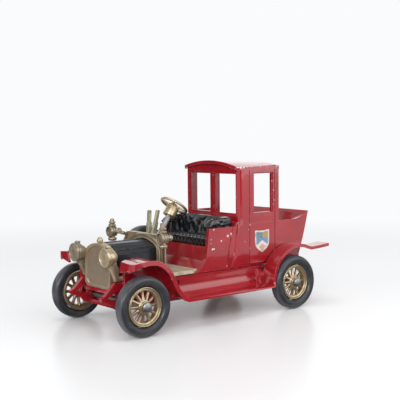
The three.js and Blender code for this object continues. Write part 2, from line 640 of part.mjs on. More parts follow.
function cabOpenings() {
  const post = WINDSCREEN_POST_WIDTH / 2;
  return [
    windscreen(post, WINDSCREEN_OUTER),
    windscreen(-WINDSCREEN_OUTER, -post),
    ...doorCuts(1, LEFT_WINDOW_REAR, LEFT_WINDOW_FRONT),
    ...doorCuts(-1, RIGHT_WINDOW_REAR, RIGHT_WINDOW_FRONT),
    block([CAB_REAR - OVER, RIGHT_POST_REAR], [-BODY_HALF_WIDTH - OVER, -BODY_INNER + OVER], [TUB_SIDE_HEIGHT, TALL]),
  ];
}

// A bent sheet whose crown falls towards the rear while its eaves stay level
function roof() {
  const upper = (drop) => archOutline(ROOF_HALF_WIDTH, 0, ROOF_EAVE_HEIGHT - drop, ROOF_CROWN_HEIGHT - drop)
    .getPoints().slice(2).map(({ x, y }) => [x, y]);
  const sheet = extruded(outline([...upper(0), ...upper(ROOF_THICKNESS).reverse()]), ROOF_FRONT - CAB_REAR);
  const fall = (ROOF_CROWN_HEIGHT - ROOF_REAR_CROWN_HEIGHT) / (ROOF_CROWN_HEIGHT - ROOF_EAVE_HEIGHT);
  const points = sheet.getAttribute('position');
  for (let i = 0; i < points.count; i += 1) {
    const across = points.getX(i);
    const rise = 1 - (across / ROOF_HALF_WIDTH) ** 2;
    const lowered = points.getZ(i) > 0 ? 0 : fall * rise * (ROOF_CROWN_HEIGHT - ROOF_EAVE_HEIGHT);
    points.setY(i, points.getY(i) - lowered);
  }
  return solid(sheet.applyMatrix4(TURN_TO_FRONT).translate(CAB_REAR, 0, 0));
}

// Front edge of a seat side or heel board: upright, then swept forward to a tip at the floor
function sweptEdge(shape, topX, topHeight, tipX) {
  const sweepHeight = BODY_BOTTOM + (topHeight - BODY_BOTTOM) * 0.45;
  const sweepX = topX + 1.1;
  shape.lineTo(tipX, BODY_BOTTOM);
  shape.quadraticCurveTo(sweepX + 0.4, BODY_BOTTOM + 2.2, sweepX, sweepHeight);
  shape.lineTo(topX, topHeight);
}

function seatSides() {
  const side = new THREE.Shape();
  side.moveTo(CAB_FRONT - BODY_WALL / 2, BODY_BOTTOM);
  sweptEdge(side, SEAT_SIDE_FRONT, SEAT_SIDE_TOP, SEAT_SIDE_TIP);
  side.lineTo(CAB_FRONT - BODY_WALL / 2, SEAT_SIDE_TOP);
  const cabPanel = outline([
    [CAB_FRONT - BODY_WALL, BODY_BOTTOM], [CAB_PANEL_TIP, BODY_BOTTOM],
    [CAB_FRONT + GAP, CAB_PANEL_TOP], [CAB_FRONT - BODY_WALL, CAB_PANEL_TOP],
  ]);
  const strip = outline([
    [CAB_FRONT, BODY_BOTTOM], [CAB_PANEL_TIP + CAB_STRIP_WIDTH, BODY_BOTTOM],
    [CAB_FRONT + GAP + CAB_STRIP_WIDTH, SEAT_SIDE_TOP], [CAB_FRONT, SEAT_SIDE_TOP],
  ]);
  return join([
    sidePlates(side, [SEAT_SIDE_INNER, SEAT_SIDE_OUTER]),
    sidePlates(strip, [SEAT_SIDE_INNER, (SEAT_SIDE_OUTER + BODY_HALF_WIDTH) / 2]),
    sidePlates(cabPanel, [BODY_INNER, BODY_HALF_WIDTH]),
  ]);
}

function seatBox() {
  const box = new THREE.Shape();
  box.moveTo(CAB_FRONT - BODY_WALL / 2, BODY_BOTTOM);
  sweptEdge(box, SEAT_SIDE_FRONT - SEAT_BOX_SETBACK / 2, SEAT_BOX_TOP, HEEL_FOOT_X);
  box.lineTo(CAB_FRONT - BODY_WALL / 2, SEAT_BOX_TOP);
  const hollow = new THREE.Shape();
  hollow.moveTo(CAB_FRONT - BODY_WALL / 2, BODY_BOTTOM - OVER);
  hollow.lineTo(HEEL_FOOT_X - BODY_WALL * 1.5, BODY_BOTTOM - OVER);
  sweptEdge(hollow, SEAT_SIDE_FRONT - SEAT_BOX_SETBACK / 2 - BODY_WALL, SEAT_BOX_TOP - BODY_WALL,
    HEEL_FOOT_X - BODY_WALL * 1.5);
  hollow.lineTo(CAB_FRONT - BODY_WALL / 2, SEAT_BOX_TOP - BODY_WALL);
  const half = SEAT_SIDE_INNER + BODY_WALL / 2;
  return sidePlate(box, [-half, half]).subtract(sidePlate(hollow, [-SEAT_SIDE_INNER, SEAT_SIDE_INNER]));
}

function bodyShell() {
  const rivetHole = rod(new THREE.Vector3(RIVET_REAR_X, 0, 0),
    new THREE.Vector3(RIVET_REAR_X, 0, BODY_BOTTOM + BODY_WALL / 2 + GAP), RIVET_RADIUS + GAP, SMALL_SIDES);
  const cab = cut(cabAndTub(), cabOpenings());
  const ledge = block([CAB_FRONT - BODY_WALL / 2, BENCH_REAR - GAP], [-SEAT_SIDE_OUTER, SEAT_SIDE_OUTER],
    [SEAT_BOX_TOP - BODY_WALL / 2, CAB_PANEL_TOP]);
  return join([cab, roof(), seatSides(), seatBox(), ledge]).subtract(rivetHole);
}

// Front bench

function bench() {
  const seat = SEAT_BOX_TOP + GAP;
  const rear = BENCH_REAR;
  const front = SEAT_SIDE_FRONT - SEAT_BOX_SETBACK / 2;
  const cushionTop = seat + BENCH_CUSHION_HEIGHT;
  const profile = new THREE.Shape();
  profile.moveTo(rear, seat);
  profile.lineTo(front, seat);
  profile.quadraticCurveTo(front + 1.4, cushionTop - 0.3, front - 0.6, cushionTop);
  profile.quadraticCurveTo((front + BENCH_CUSHION_REAR) / 2, cushionTop + 0.4, BENCH_CUSHION_REAR, cushionTop - 0.8);
  profile.quadraticCurveTo(BENCH_CUSHION_REAR + 0.2, BENCH_BACK_HEIGHT - 1, rear + 2.4, BENCH_BACK_HEIGHT);
  profile.quadraticCurveTo(rear, BENCH_BACK_HEIGHT, rear, BENCH_BACK_HEIGHT - 2);
  const half = SEAT_SIDE_INNER - GAP;
  const pleat = (2 * half) / BENCH_PLEAT_COUNT;
  const lap = 0.03;
  const pleats = Array.from({ length: BENCH_PLEAT_COUNT }, (_, i) => {
    const geometry = new THREE.ExtrudeGeometry(profile, {
      depth: pleat + 2 * lap - 2 * BENCH_PLEAT_BEVEL,
      bevelEnabled: true,
      bevelSize: BENCH_PLEAT_BEVEL,
      bevelOffset: -BENCH_PLEAT_BEVEL,
      bevelThickness: BENCH_PLEAT_BEVEL,
      bevelSegments: 1,
      curveSegments: CURVE_STEPS - 3,
    });
    geometry.rotateX(Math.PI / 2);
    return solid(geometry.translate(0, -half + (i + 1) * pleat + lap - BENCH_PLEAT_BEVEL, 0));
  });
  const armBottom = SEAT_SIDE_TOP + GAP;
  const armTop = armBottom + BENCH_ARM_HEIGHT;
  const armInner = SEAT_SIDE_OUTER - BENCH_ARM_WIDTH;
  const roll = new THREE.Shape();
  roll.moveTo(BENCH_ARM_REAR, armBottom);
  roll.lineTo(SEAT_SIDE_FRONT, armBottom);
  roll.quadraticCurveTo(SEAT_SIDE_FRONT, armTop - 0.8, SEAT_SIDE_FRONT - 4, armTop - 0.3);
  roll.lineTo(BENCH_ARM_REAR + 0.9, armTop);
  roll.quadraticCurveTo(BENCH_ARM_REAR, armTop, BENCH_ARM_REAR, armTop - 0.9);
  const rollGeometry = () => new THREE.ExtrudeGeometry(roll, {
    depth: BENCH_ARM_WIDTH - 2 * BENCH_ARM_BEVEL,
    bevelSize: BENCH_ARM_BEVEL,
    bevelOffset: -BENCH_ARM_BEVEL,
    bevelThickness: BENCH_ARM_BEVEL,
    bevelSegments: 2,
    curveSegments: CURVE_STEPS - 1,
  }).rotateX(Math.PI / 2);
  const cheek = outline([
    [rear + BENCH_PLEAT_BEVEL, seat + OVER], [front - OVER, seat + OVER],
    [front - OVER, armBottom + OVER], [rear + BENCH_PLEAT_BEVEL, armBottom + OVER],
  ]);
  return join([
    ...pleats,
    solid(rollGeometry().translate(0, SEAT_SIDE_OUTER - BENCH_ARM_BEVEL, 0)),
    solid(rollGeometry().translate(0, -armInner - BENCH_ARM_BEVEL, 0)),
    sidePlates(cheek, [armInner, half - BENCH_PLEAT_BEVEL]),
  ]);
}

// Front end trim

function bonnetOutline(inset) {
  return archOutline(BONNET_HALF_WIDTH - inset, TRAY_SEAT - (inset > 0 ? OVER : 0),
    BONNET_SHOULDER_HEIGHT - inset, BONNET_CROWN_HEIGHT - inset);
}

function bonnet() {
  const hood = frontPlate(bonnetOutline(0), [BONNET_REAR, BONNET_FRONT]);
  const hollow = frontPlate(bonnetOutline(BONNET_WALL), [BONNET_REAR + BONNET_WALL, BONNET_FRONT - BONNET_WALL]);
  const raised = frontPlate(bonnetOutline(-BONNET_RIDGE_HEIGHT), [BONNET_REAR, BONNET_FRONT]);
  const ridges = BONNET_RIDGES.map((y) => raised.intersect(block([BONNET_REAR, BONNET_FRONT],
    [y - BONNET_RIDGE_WIDTH / 2, y + BONNET_RIDGE_WIDTH / 2], [BONNET_SHOULDER_HEIGHT - BONNET_WALL / 2, TALL])));
  return join([hood.subtract(hollow), ...ridges]);
}

function radiatorOutline(inset) {
  const half = RADIATOR_HALF_WIDTH - inset;
  const bottom = RADIATOR_BOTTOM + inset;
  const foot = half - RADIATOR_CHAMFER;
  const arch = archOutline(half, bottom + RADIATOR_CHAMFER, RADIATOR_SHOULDER_HEIGHT - inset,
    RADIATOR_CROWN_HEIGHT - inset).getPoints().map(({ x, y }) => [x, y]);
  return outline([[-foot, bottom], [foot, bottom], ...arch.slice(1), [-half, bottom + RADIATOR_CHAMFER]]);
}

function radiator() {
  const shell = frontPlate(radiatorOutline(0), [RADIATOR_REAR, RADIATOR_FRONT]);
  const recess = frontPlate(radiatorOutline(RADIATOR_BORDER),
    [RADIATOR_FRONT - RADIATOR_RECESS, RADIATOR_FRONT + OVER]);
  const capX = (RADIATOR_FRONT + RADIATOR_REAR) / 2;
  const cap = solid(turnedAlongZ([
    [0, -FILLER_NECK], [FILLER_RADIUS * 0.75, -FILLER_NECK], [FILLER_RADIUS * 0.75, 0],
    [FILLER_RADIUS, FILLER_RADIUS * 0.5], [FILLER_RADIUS, FILLER_RADIUS], [FILLER_RADIUS * 0.6, FILLER_RADIUS * 1.7],
    [0, FILLER_RADIUS * 1.9],
  ], SMALL_SIDES).translate(capX, 0, RADIATOR_CROWN_HEIGHT));
  return shell.subtract(recess).add(cap);
}

function dashPanel() {
  const panel = (inset) => {
    const half = DASH_HALF_WIDTH - inset;
    const top = DASH_TOP - inset;
    const corner = DASH_CORNER_RADIUS - inset;
    const shape = new THREE.Shape();
    shape.moveTo(-half, TRAY_SEAT - (inset > 0 ? OVER : 0));
    shape.lineTo(half, TRAY_SEAT - (inset > 0 ? OVER : 0));
    shape.lineTo(half, top - corner);
    shape.quadraticCurveTo(half, top, half - corner, top);
    shape.lineTo(-half + corner, top);
    shape.quadraticCurveTo(-half, top, -half, top - corner);
    return shape;
  };
  const beadFront = DASH_FRONT + DASH_BEAD_HEIGHT;
  const edge = frontPlate(panel(0), [DASH_REAR, beadFront])
    .subtract(frontPlate(panel(DASH_BEAD_WIDTH), [DASH_FRONT, beadFront + OVER]));
  const hoodArch = (reach, bottom) => archOutline(BONNET_HALF_WIDTH + reach, bottom,
    BONNET_SHOULDER_HEIGHT + reach, BONNET_CROWN_HEIGHT + reach);
  const inner = GAP + BONNET_RIDGE_HEIGHT;
  const arch = join([
    frontPlate(hoodArch(inner + DASH_ARCH_WIDTH, TRAY_SEAT), [DASH_REAR, beadFront]),
    frontPlate(hoodArch(inner + DASH_ARCH_WIDTH / 2, TRAY_SEAT), [DASH_REAR, beadFront + DASH_ARCH_STEP]),
  ]).subtract(frontPlate(hoodArch(inner, TRAY_SEAT - OVER), [DASH_FRONT, beadFront + OVER]));
  return edge.add(arch.intersect(frontPlate(panel(0), [DASH_REAR, beadFront + OVER])));
}

function floorTray() {
  const front = BONNET_FRONT;
  const rear = HEEL_FOOT_X + GAP;
  const tip = SEAT_SIDE_TIP + GAP;
  const betweenSides = SEAT_SIDE_INNER - GAP;
  const narrowing = TRAY_FLOOR_HALF_WIDTH - TRAY_BONNET_HALF_WIDTH;
  const half = [
    [rear, betweenSides], [tip, betweenSides], [tip, TRAY_FLOOR_HALF_WIDTH],
    [DASH_FRONT, TRAY_FLOOR_HALF_WIDTH], [DASH_FRONT + narrowing, TRAY_BONNET_HALF_WIDTH],
    [front, TRAY_BONNET_HALF_WIDTH],
  ];
  const mirrored = half.map(([x, y]) => [x, -y]).reverse();
  return floorPlate(outline([...half, ...mirrored]), [BODY_BOTTOM, TRAY_TOP]);
}

// Lamps

function headlamp(side) {
  const r = HEADLAMP_RADIUS;
  const length = HEADLAMP_LENGTH;
  const drum = solid(turnedAlongX([
    [0, -length], [r * 0.35, -length], [r * 0.65, -length * 0.8], [r * 0.84, -length * 0.5],
    [r * 0.87, -length * 0.26], [r * 0.98, -length * 0.2], [r, -length * 0.06], [r * 0.86, 0],
    [r * 0.8, -length * 0.04], [0, 0],
  ], ROUND_SIDES));
  const middle = -length * 0.36;
  const lug = solid(turnedAlongZ([
    [0, r * 0.6], [HEADLAMP_LUG_RADIUS, r * 0.6], [HEADLAMP_LUG_RADIUS, r * 0.85 + HEADLAMP_LUG_HEIGHT * 0.7],
    [HEADLAMP_LUG_RADIUS * 0.6, r * 0.85 + HEADLAMP_LUG_HEIGHT], [0, r * 0.85 + HEADLAMP_LUG_HEIGHT],
  ], SMALL_SIDES).translate(middle, 0, 0));
  const lamp = drum.add(lug);
  const y = side * HEADLAMP_OFFSET;
  const foot = BODY_BOTTOM;
  const top = HEADLAMP_HEIGHT - r * 0.7;
  const bracket = sidePlate(outline([
    [HEADLAMP_FACE_X - length * 0.2, top], [HEADLAMP_FACE_X - length * 0.55, top],
    [RADIATOR_REAR + 0.4, foot + 1], [RADIATOR_REAR + 0.4, foot],
    [RADIATOR_REAR + 2, foot], [RADIATOR_REAR + 2.4, foot + 1.2],
  ]), [y - BRACKET_THICKNESS / 2, y + BRACKET_THICKNESS / 2]);
  return { lamp, bracket, place: [HEADLAMP_FACE_X, y, HEADLAMP_HEIGHT] };
}

function sideLamp(side) {
  const r = SIDE_LAMP_RADIUS;
  const length = SIDE_LAMP_LENGTH;
  const drum = solid(turnedAlongX([
    [0, -length], [r * 0.35, -length], [r * 0.45, -length * 0.85], [r * 0.85, -length * 0.72],
    [r * 0.88, -length * 0.26], [r, -length * 0.2], [r, 0], [r * 0.8, -0.1], [0, 0],
  ], ROUND_SIDES));
  const middle = -length * 0.42;
  const chimney = solid(turnedAlongZ([
    [0, r * 0.6], [r * 0.58, r * 0.6], [r * 0.58, CHIMNEY_HEIGHT * 0.58], [r * 0.4, CHIMNEY_HEIGHT * 0.6],
    [r * 0.4, CHIMNEY_HEIGHT * 0.8], [r * 0.26, CHIMNEY_HEIGHT * 0.82], [r * 0.26, CHIMNEY_HEIGHT * 0.96],
    [0, CHIMNEY_HEIGHT],
  ], SMALL_SIDES).translate(middle, 0, 0));
  const font = solid(turnedAlongZ([
    [0, -FONT_DEPTH], [r * 0.3, -FONT_DEPTH], [r * 0.6, -FONT_DEPTH * 0.92], [r * 0.6, -FONT_DEPTH * 0.66],
    [r * 0.34, -FONT_DEPTH * 0.6], [r * 0.34, -r * 0.6], [0, -r * 0.6],
  ], SMALL_SIDES).translate(middle, 0, 0));
  const y = side * SIDE_LAMP_OFFSET;
  const armEnd = side * (DASH_HALF_WIDTH - DASH_CORNER_RADIUS / 2);
  const armFoot = DASH_FRONT + DASH_BEAD_HEIGHT + GAP + SIDE_LAMP_ARM_RADIUS;
  const arm = rod(
    new THREE.Vector3(middle * 1.5, -side * r * 0.4, 0),
    new THREE.Vector3(armFoot - SIDE_LAMP_FACE_X, armEnd - y, -GAP - r * 0.2),
    SIDE_LAMP_ARM_RADIUS, SMALL_SIDES);
  return { lamp: join([drum, chimney, font, arm]), place: [SIDE_LAMP_FACE_X, y, SIDE_LAMP_HEIGHT] };
}

// Steering and levers

const columnFoot = new THREE.Vector3(COLUMN_FOOT_X, -STEERING_OFFSET, TRAY_SEAT);
const wheelCentre = new THREE.Vector3(STEERING_WHEEL_X, -STEERING_OFFSET, STEERING_WHEEL_HEIGHT);
const columnAxis = new THREE.Vector3().subVectors(wheelCentre, columnFoot).normalize();

function steeringColumn() {
  const top = wheelCentre.clone().addScaledVector(columnAxis, BOSS_SOCKET_DEPTH - BOSS_LENGTH - GAP);
  const below = columnFoot.clone().addScaledVector(columnAxis, -2 * COLUMN_RADIUS);
  const bar = rod(below, top, COLUMN_RADIUS, SMALL_SIDES);
  return bar.intersect(block([DASH_REAR - TALL, DASH_REAR - GAP], [-TALL, TALL], [TRAY_SEAT, TALL]));
}

// The wheel lies in its own X and Y plane, with the boss below it
function steeringWheel() {
  const rimRadius = STEERING_WHEEL_RADIUS - STEERING_RIM_RADIUS;
  const rim = solid(new THREE.TorusGeometry(rimRadius, STEERING_RIM_RADIUS, 6, 28));
  const spokes = Array.from({ length: STEERING_SPOKES }, (_, i) => {
    const angle = (2 * Math.PI * (i + 0.5)) / STEERING_SPOKES;
    return rod(new THREE.Vector3(0, 0, -STEERING_RIM_RADIUS),
      new THREE.Vector3(rimRadius * Math.cos(angle), rimRadius * Math.sin(angle), 0), STEERING_RIM_RADIUS * 0.9, 6);
  });
  const boss = solid(turnedAlongZ([
    [0, -BOSS_LENGTH], [BOSS_RADIUS, -BOSS_LENGTH], [BOSS_RADIUS, -STEERING_RIM_RADIUS * 2],
    [BOSS_RADIUS * 0.6, STEERING_RIM_RADIUS], [0, STEERING_RIM_RADIUS],
  ], ROUND_SIDES));
  const socket = solid(turnedAlongZ([
    [0, -BOSS_LENGTH - OVER], [COLUMN_RADIUS + GAP, -BOSS_LENGTH - OVER],
    [COLUMN_RADIUS + GAP, BOSS_SOCKET_DEPTH - BOSS_LENGTH], [0, BOSS_SOCKET_DEPTH - BOSS_LENGTH],
  ], SMALL_SIDES));
  return join([rim, ...spokes, boss]).subtract(socket);
}

function lever(footX, topX, offset) {
  const slope = (topX - footX) / (LEVER_TOP_HEIGHT - TRAY_SEAT);
  const centre = (z) => footX + slope * (z - TRAY_SEAT);
  const bar = (width, z0, z1) => outline([
    [centre(z0) + width / 2, z0], [centre(z1) + width / 2, z1 - width / 4], [centre(z1) + width / 4, z1],
    [centre(z1) - width / 4, z1], [centre(z1) - width / 2, z1 - width / 4], [centre(z0) - width / 2, z0],
  ]);
  const thickness = [-offset - LEVER_THICKNESS / 2, -offset + LEVER_THICKNESS / 2];
  return sidePlate(bar(LEVER_WIDTH, TRAY_SEAT, LEVER_STEP_HEIGHT), thickness)
    .add(sidePlate(bar(LEVER_TIP_WIDTH, LEVER_STEP_HEIGHT - OVER, LEVER_TOP_HEIGHT), thickness));
}

// Running gear, each with its axle along Y and its outer face towards +Y

function tyre() {
  const middle = (TYRE_RADIUS + TYRE_BORE_RADIUS) / 2;
  const half = (TYRE_RADIUS - TYRE_BORE_RADIUS) / 2;
  const roundness = 0.7;
  const steps = 12;
  const soft = (value) => Math.sign(value) * Math.abs(value) ** roundness;
  const profile = Array.from({ length: steps + 1 }, (_, i) => {
    const angle = (2 * Math.PI * (i % steps)) / steps;
    return [middle + half * soft(Math.sin(angle)), (TYRE_WIDTH / 2) * soft(Math.cos(angle))];
  });
  return turnedGeometry(profile, TYRE_SIDES);
}

function wheel() {
  const outer = TYRE_BORE_RADIUS - GAP;
  const inner = outer - RIM_WALL;
  const face = RIM_WIDTH / 2;
  const flange = -TYRE_WIDTH / 2;
  const back = -WHEEL_INNER_REACH;
  const rim = solid(turnedGeometry([
    [inner, back], [outer + RIM_FLANGE_HEIGHT, back], [outer + RIM_FLANGE_HEIGHT, flange], [outer, flange],
    [outer, face - 0.25], [outer - 0.2, face], [inner + 0.35, face], [inner, face - 0.6], [inner, back],
  ], WHEEL_SIDES));
  const hub = solid(turnedGeometry([
    [0, -HUB_LENGTH / 2], [HUB_RADIUS, -HUB_LENGTH / 2], [HUB_RADIUS, HUB_LENGTH / 4],
    [HUB_RADIUS * 0.8, HUB_LENGTH / 2], [0, HUB_LENGTH / 2],
  ], ROUND_SIDES));
  const spokes = Array.from({ length: SPOKE_COUNT }, (_, i) => {
    const reach = (inner + outer) / 2;
    const geometry = new THREE.BoxGeometry(reach, SPOKE_DEPTH, SPOKE_WIDTH);
    geometry.translate(reach / 2, 0, 0).rotateY((2 * Math.PI * i) / SPOKE_COUNT);
    return solid(geometry);
  });
  const bore = rod(
    new THREE.Vector3(0, -TYRE_WIDTH, 0), new THREE.Vector3(0, TYRE_WIDTH, 0), BORE_RADIUS, SMALL_SIDES);
  return join([rim, hub, ...spokes]).subtract(bore);
}

function axle() {
  const end = WHEEL_MIDDLE + HUB_LENGTH / 2 + GAP;
  const half = [
    [AXLE_RADIUS, end], [AXLE_HEAD_RADIUS, end], [AXLE_HEAD_RADIUS, end + AXLE_HEAD_LENGTH * 0.4],
    [AXLE_HEAD_RADIUS * 0.7, end + AXLE_HEAD_LENGTH * 0.85], [0, end + AXLE_HEAD_LENGTH],
  ];
  const mirrored = half.map(([r, y]) => [r, -y]).reverse();
  return turnedGeometry([...mirrored, ...half], SMALL_SIDES);
}

// Finishes
const finish = (color, roughness, metalness) => new THREE.MeshStandardMaterial({ color, roughness, metalness });
const RED = finish(0x8f1620, 0.3, 0.1);
const GOLD = finish(0xb09a6a, 0.4, 0.9);
const BLACK = finish(0x2a2c31, 0.35, 0.1);
const BENCH_BLACK = finish(0x14151a, 0.25, 0);
const STEEL = finish(0xa8a8a6, 0.35, 1);
const RUBBER = finish(0x333538, 0.7, 0);
const BASE_GREY = finish(0x3a3b3d, 0.6, 0.4);

// Assembly

const car = new THREE.Group();
car.position.x = -(DUMB_IRON_TIP + TAIL_X) / 2;

function place(name, shape, material, position = [0, 0, 0]) {
  const geometry = shape instanceof THREE.BufferGeometry ? geometryOf(solid(shape)) : geometryOf(shape);
  const mesh = new THREE.Mesh(geometry, material);
  mesh.name = name;
  mesh.position.set(...position);
  car.add(mesh);
  return mesh;
}

place('chassis_casting', chassis(), RED);
place('body_shell', bodyShell(), RED);
place('baseplate', baseplate(), BASE_GREY);
place('front_rivet', rivet(DECK_TOP), STEEL, [RIVET_FRONT_X, 0, 0]);
place('rear_rivet', rivet(BODY_BOTTOM + BODY_WALL / 2), STEEL, [RIVET_REAR_X, 0, 0]);
place('front_bench', bench(), BENCH_BLACK);
place('bonnet', bonnet(), BLACK);
place('radiator', radiator(), GOLD);
place('dash_panel', dashPanel(), GOLD);
place('floor_tray', floorTray(), GOLD);
place('steering_column', steeringColumn(), STEEL);
const turning = place('steering_wheel', steeringWheel(), GOLD, wheelCentre.toArray());
turning.quaternion.setFromUnitVectors(new THREE.Vector3(0, 0, 1), columnAxis);
place('brake_lever', lever(BRAKE_LEVER_FOOT_X, BRAKE_LEVER_TOP_X, BRAKE_LEVER_OFFSET), GOLD);
place('gear_lever', lever(GEAR_LEVER_FOOT_X, GEAR_LEVER_TOP_X, GEAR_LEVER_OFFSET), GOLD);
const radiatorRoom = frontPlate(radiatorOutline(-GAP), [RADIATOR_REAR - GAP, RADIATOR_FRONT + GAP]);
for (const [name, side] of [['left', 1], ['right', -1]]) {
  const front = headlamp(side);
  const [x, y, z] = front.place;
  const lampHere = solid(geometryOf(front.lamp).translate(x, y, z)).subtract(radiatorRoom);
  place(`headlamp_${name}`, lampHere.add(front.bracket), GOLD);
  const lantern = sideLamp(side);
  place(`side_lamp_${name}`, lantern.lamp, GOLD, lantern.place);
}
place('spare_tyre', tyre(), RUBBER, [SPARE_X, -SPARE_OFFSET, SPARE_HEIGHT]);
for (const [end, x] of [['front', FRONT_WHEEL_X], ['rear', REAR_WHEEL_X]]) {
  place(`${end}_axle`, axle(), STEEL, [x, 0, AXLE_HEIGHT]);
  for (const [name, side] of [['left', 1], ['right', -1]]) {
    const middle = [x, side * WHEEL_MIDDLE, AXLE_HEIGHT];
    const outward = side > 0 ? 0 : Math.PI;
    place(`${end}_${name}_wheel`, wheel(), GOLD, middle).rotation.z = outward;
    place(`${end}_${name}_tyre`, tyre(), RUBBER, middle).rotation.z = outward;
  }
}

export default car;
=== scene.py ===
"""Finishes a die-cast veteran town car: enamelled castings, plated trim, black mouldings and rubber tyres."""

import json
import math

import bmesh
import bpy
from mathutils import Matrix, Vector


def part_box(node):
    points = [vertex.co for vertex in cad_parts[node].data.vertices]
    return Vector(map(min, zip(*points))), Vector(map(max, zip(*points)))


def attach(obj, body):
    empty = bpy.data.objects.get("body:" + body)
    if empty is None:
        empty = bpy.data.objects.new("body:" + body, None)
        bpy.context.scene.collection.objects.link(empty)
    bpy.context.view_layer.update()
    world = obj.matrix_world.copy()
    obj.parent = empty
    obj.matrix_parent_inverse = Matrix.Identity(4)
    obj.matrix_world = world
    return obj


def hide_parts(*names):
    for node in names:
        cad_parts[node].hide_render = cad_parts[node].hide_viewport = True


bl_info = {
    "name": "Die-cast Town Car",
    "version": (1, 0, 0),
    "blender": (4, 5, 0),
    "location": "3D View > Sidebar > Town Car",
    "description": "Finishes the pieces of a die-cast veteran town car",
    "category": "Object",
}

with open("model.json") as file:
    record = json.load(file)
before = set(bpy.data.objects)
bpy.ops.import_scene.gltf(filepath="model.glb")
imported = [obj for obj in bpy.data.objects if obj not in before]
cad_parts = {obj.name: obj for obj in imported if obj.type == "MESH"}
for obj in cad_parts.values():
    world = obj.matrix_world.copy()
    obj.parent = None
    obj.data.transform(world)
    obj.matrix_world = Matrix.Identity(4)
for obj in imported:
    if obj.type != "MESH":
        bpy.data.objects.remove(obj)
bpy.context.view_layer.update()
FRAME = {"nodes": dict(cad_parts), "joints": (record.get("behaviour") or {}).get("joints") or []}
NODES = FRAME["nodes"]
PIVOTS = {joint["child"]: Vector(joint["pos_m"]) for joint in FRAME["joints"]}
AXES = {joint["child"]: Vector(joint["axis"]).normalized() for joint in FRAME["joints"]}
WHEELS = ("front_left", "front_right", "rear_left", "rear_right")
SIDES = (("left", 1), ("right", -1))
MM = 0.001
SMOOTH_ANGLE = math.radians(38)
SHARP_ANGLE = math.radians(28)
FLAT_ANGLE = math.radians(1)
STUDIO_WHITE = (0.952, 0.966, 0.980)
STUDIO_CEILING = (0.24, 0.245, 0.25)
BADGE_CREAM = (0.70, 0.66, 0.58)


def box_of(node):
    """Lowest and highest corner of a node's box, in millimetres."""
    return [Vector(corner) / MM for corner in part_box(node)]


def clamp(value):
    """A value held between 0 and 1."""
    return min(1.0, max(0.0, value))


def full_turn(count):
    """Angles evenly spaced round a circle."""
    return [2 * math.pi * i / count for i in range(count)]


def signed_power(value, power):
    """A power of a value's size, with the value's sign."""
    return math.copysign(abs(value) ** power, value)


def length(name, description, millimetres):
    """A length property whose default is given in millimetres."""
    return bpy.props.FloatProperty(
        name=name, description=description, default=millimetres * MM, min=0.0, unit="LENGTH", subtype="DISTANCE")


def number(name, description, default, least):
    """A property that counts."""
    return bpy.props.IntProperty(name=name, description=description, default=default, min=least)


def colour(name, description, *rgb):
    """A colour property."""
    return bpy.props.FloatVectorProperty(
        name=name, description=description, default=rgb, size=3, min=0.0, max=1.0, subtype="COLOR")


class TownCarSizes(bpy.types.PropertyGroup):
    """Sizes of what is turned, moulded or rounded here."""

    edge_round: length("Edge Rounding", "Radius that the enamel gives the edges of the castings", 0.14)
    trim_round: length("Trim Rounding", "Radius on the edges of the plated trim", 0.09)
    rim_radius: length("Rim Radius", "Radius of the wheel rim's seat for the tyre", 6.0)
    rim_wall: length("Rim Wall", "Thickness of the wheel rim", 1.25)
    hub_radius: length("Hub Radius", "Radius of the wheel hub", 2.2)
    spoke_width: length("Spoke Width", "Width of a wheel spoke at its middle", 0.98)
    spoke_count: number("Spokes", "Number of spokes in a wheel", 12, 3)
    tyre_bore: length("Tyre Bore", "Radius of the hole in a tyre", 6.3)
    pleat_count: number("Pleats", "Number of pleats across the bench cushion", 12, 2)
    pleat_depth: length("Pleat Depth", "Depth of the folds between the pleats", 0.6)
    tuft_count: number("Tufts", "Number of tufts across the bench back", 4, 1)
    tuft_depth: length("Tuft Depth", "Depth of the creases between the tufts", 0.34)
    badge_height: length("Badge Height", "Height of the shield on the left door", 7.6)


class TownCarColours(bpy.types.PropertyGroup):
    """Colours of the finishes."""

    enamel: colour("Enamel", "Red enamel of the castings", 0.35, 0.009, 0.017)
    bare_metal: colour("Chipped Metal", "Pale metal and primer where the enamel is chipped", 0.72, 0.66, 0.63)
    gold: colour("Gold", "Plating of the wheel rims and the steering wheel", 0.60, 0.50, 0.33)
    aged_gold: colour("Aged Gold", "Browner plating of the radiator and the left headlamp", 0.52, 0.43, 0.29)
    # On the radiator's core this is the plating's own darker tone; on the dash's sunk panels it is painted shade.
    core_brown: colour("Core Brown", "Dark plating of the radiator's core and the dash recesses", 0.37, 0.29, 0.215)
    dull_gold: colour("Dull Gold", "Greyer plating of the dash", 0.42, 0.35, 0.24)
    lever_gold: colour("Lever Gold", "Pale worn plating of the levers", 0.50, 0.475, 0.36)
    tray_gold: colour("Tray Gold", "Plating of the floor tray", 0.56, 0.50, 0.37)
    brown_gold: colour("Brown Gold", "Dark plating of the side lamps and the right headlamp", 0.33, 0.275, 0.20)
    copper: colour("Copper", "Worn plating of the wheel spokes", 0.46, 0.345, 0.245)
    bonnet: colour("Bonnet", "Black of the bonnet", 0.012, 0.013, 0.018)
    bench: colour("Bench", "Black of the bench", 0.006, 0.007, 0.009)
    rubber: colour("Rubber", "Black of the tyres", 0.028, 0.029, 0.034)
    steel: colour("Steel", "Bright axle ends and rivets", 0.37, 0.365, 0.36)
    column: colour("Column", "Worn grey of the steering column", 0.36, 0.36, 0.37)


def sizes():
    return bpy.context.scene.town_car_sizes


def colours():
    return bpy.context.scene.town_car_colours


# Finishes


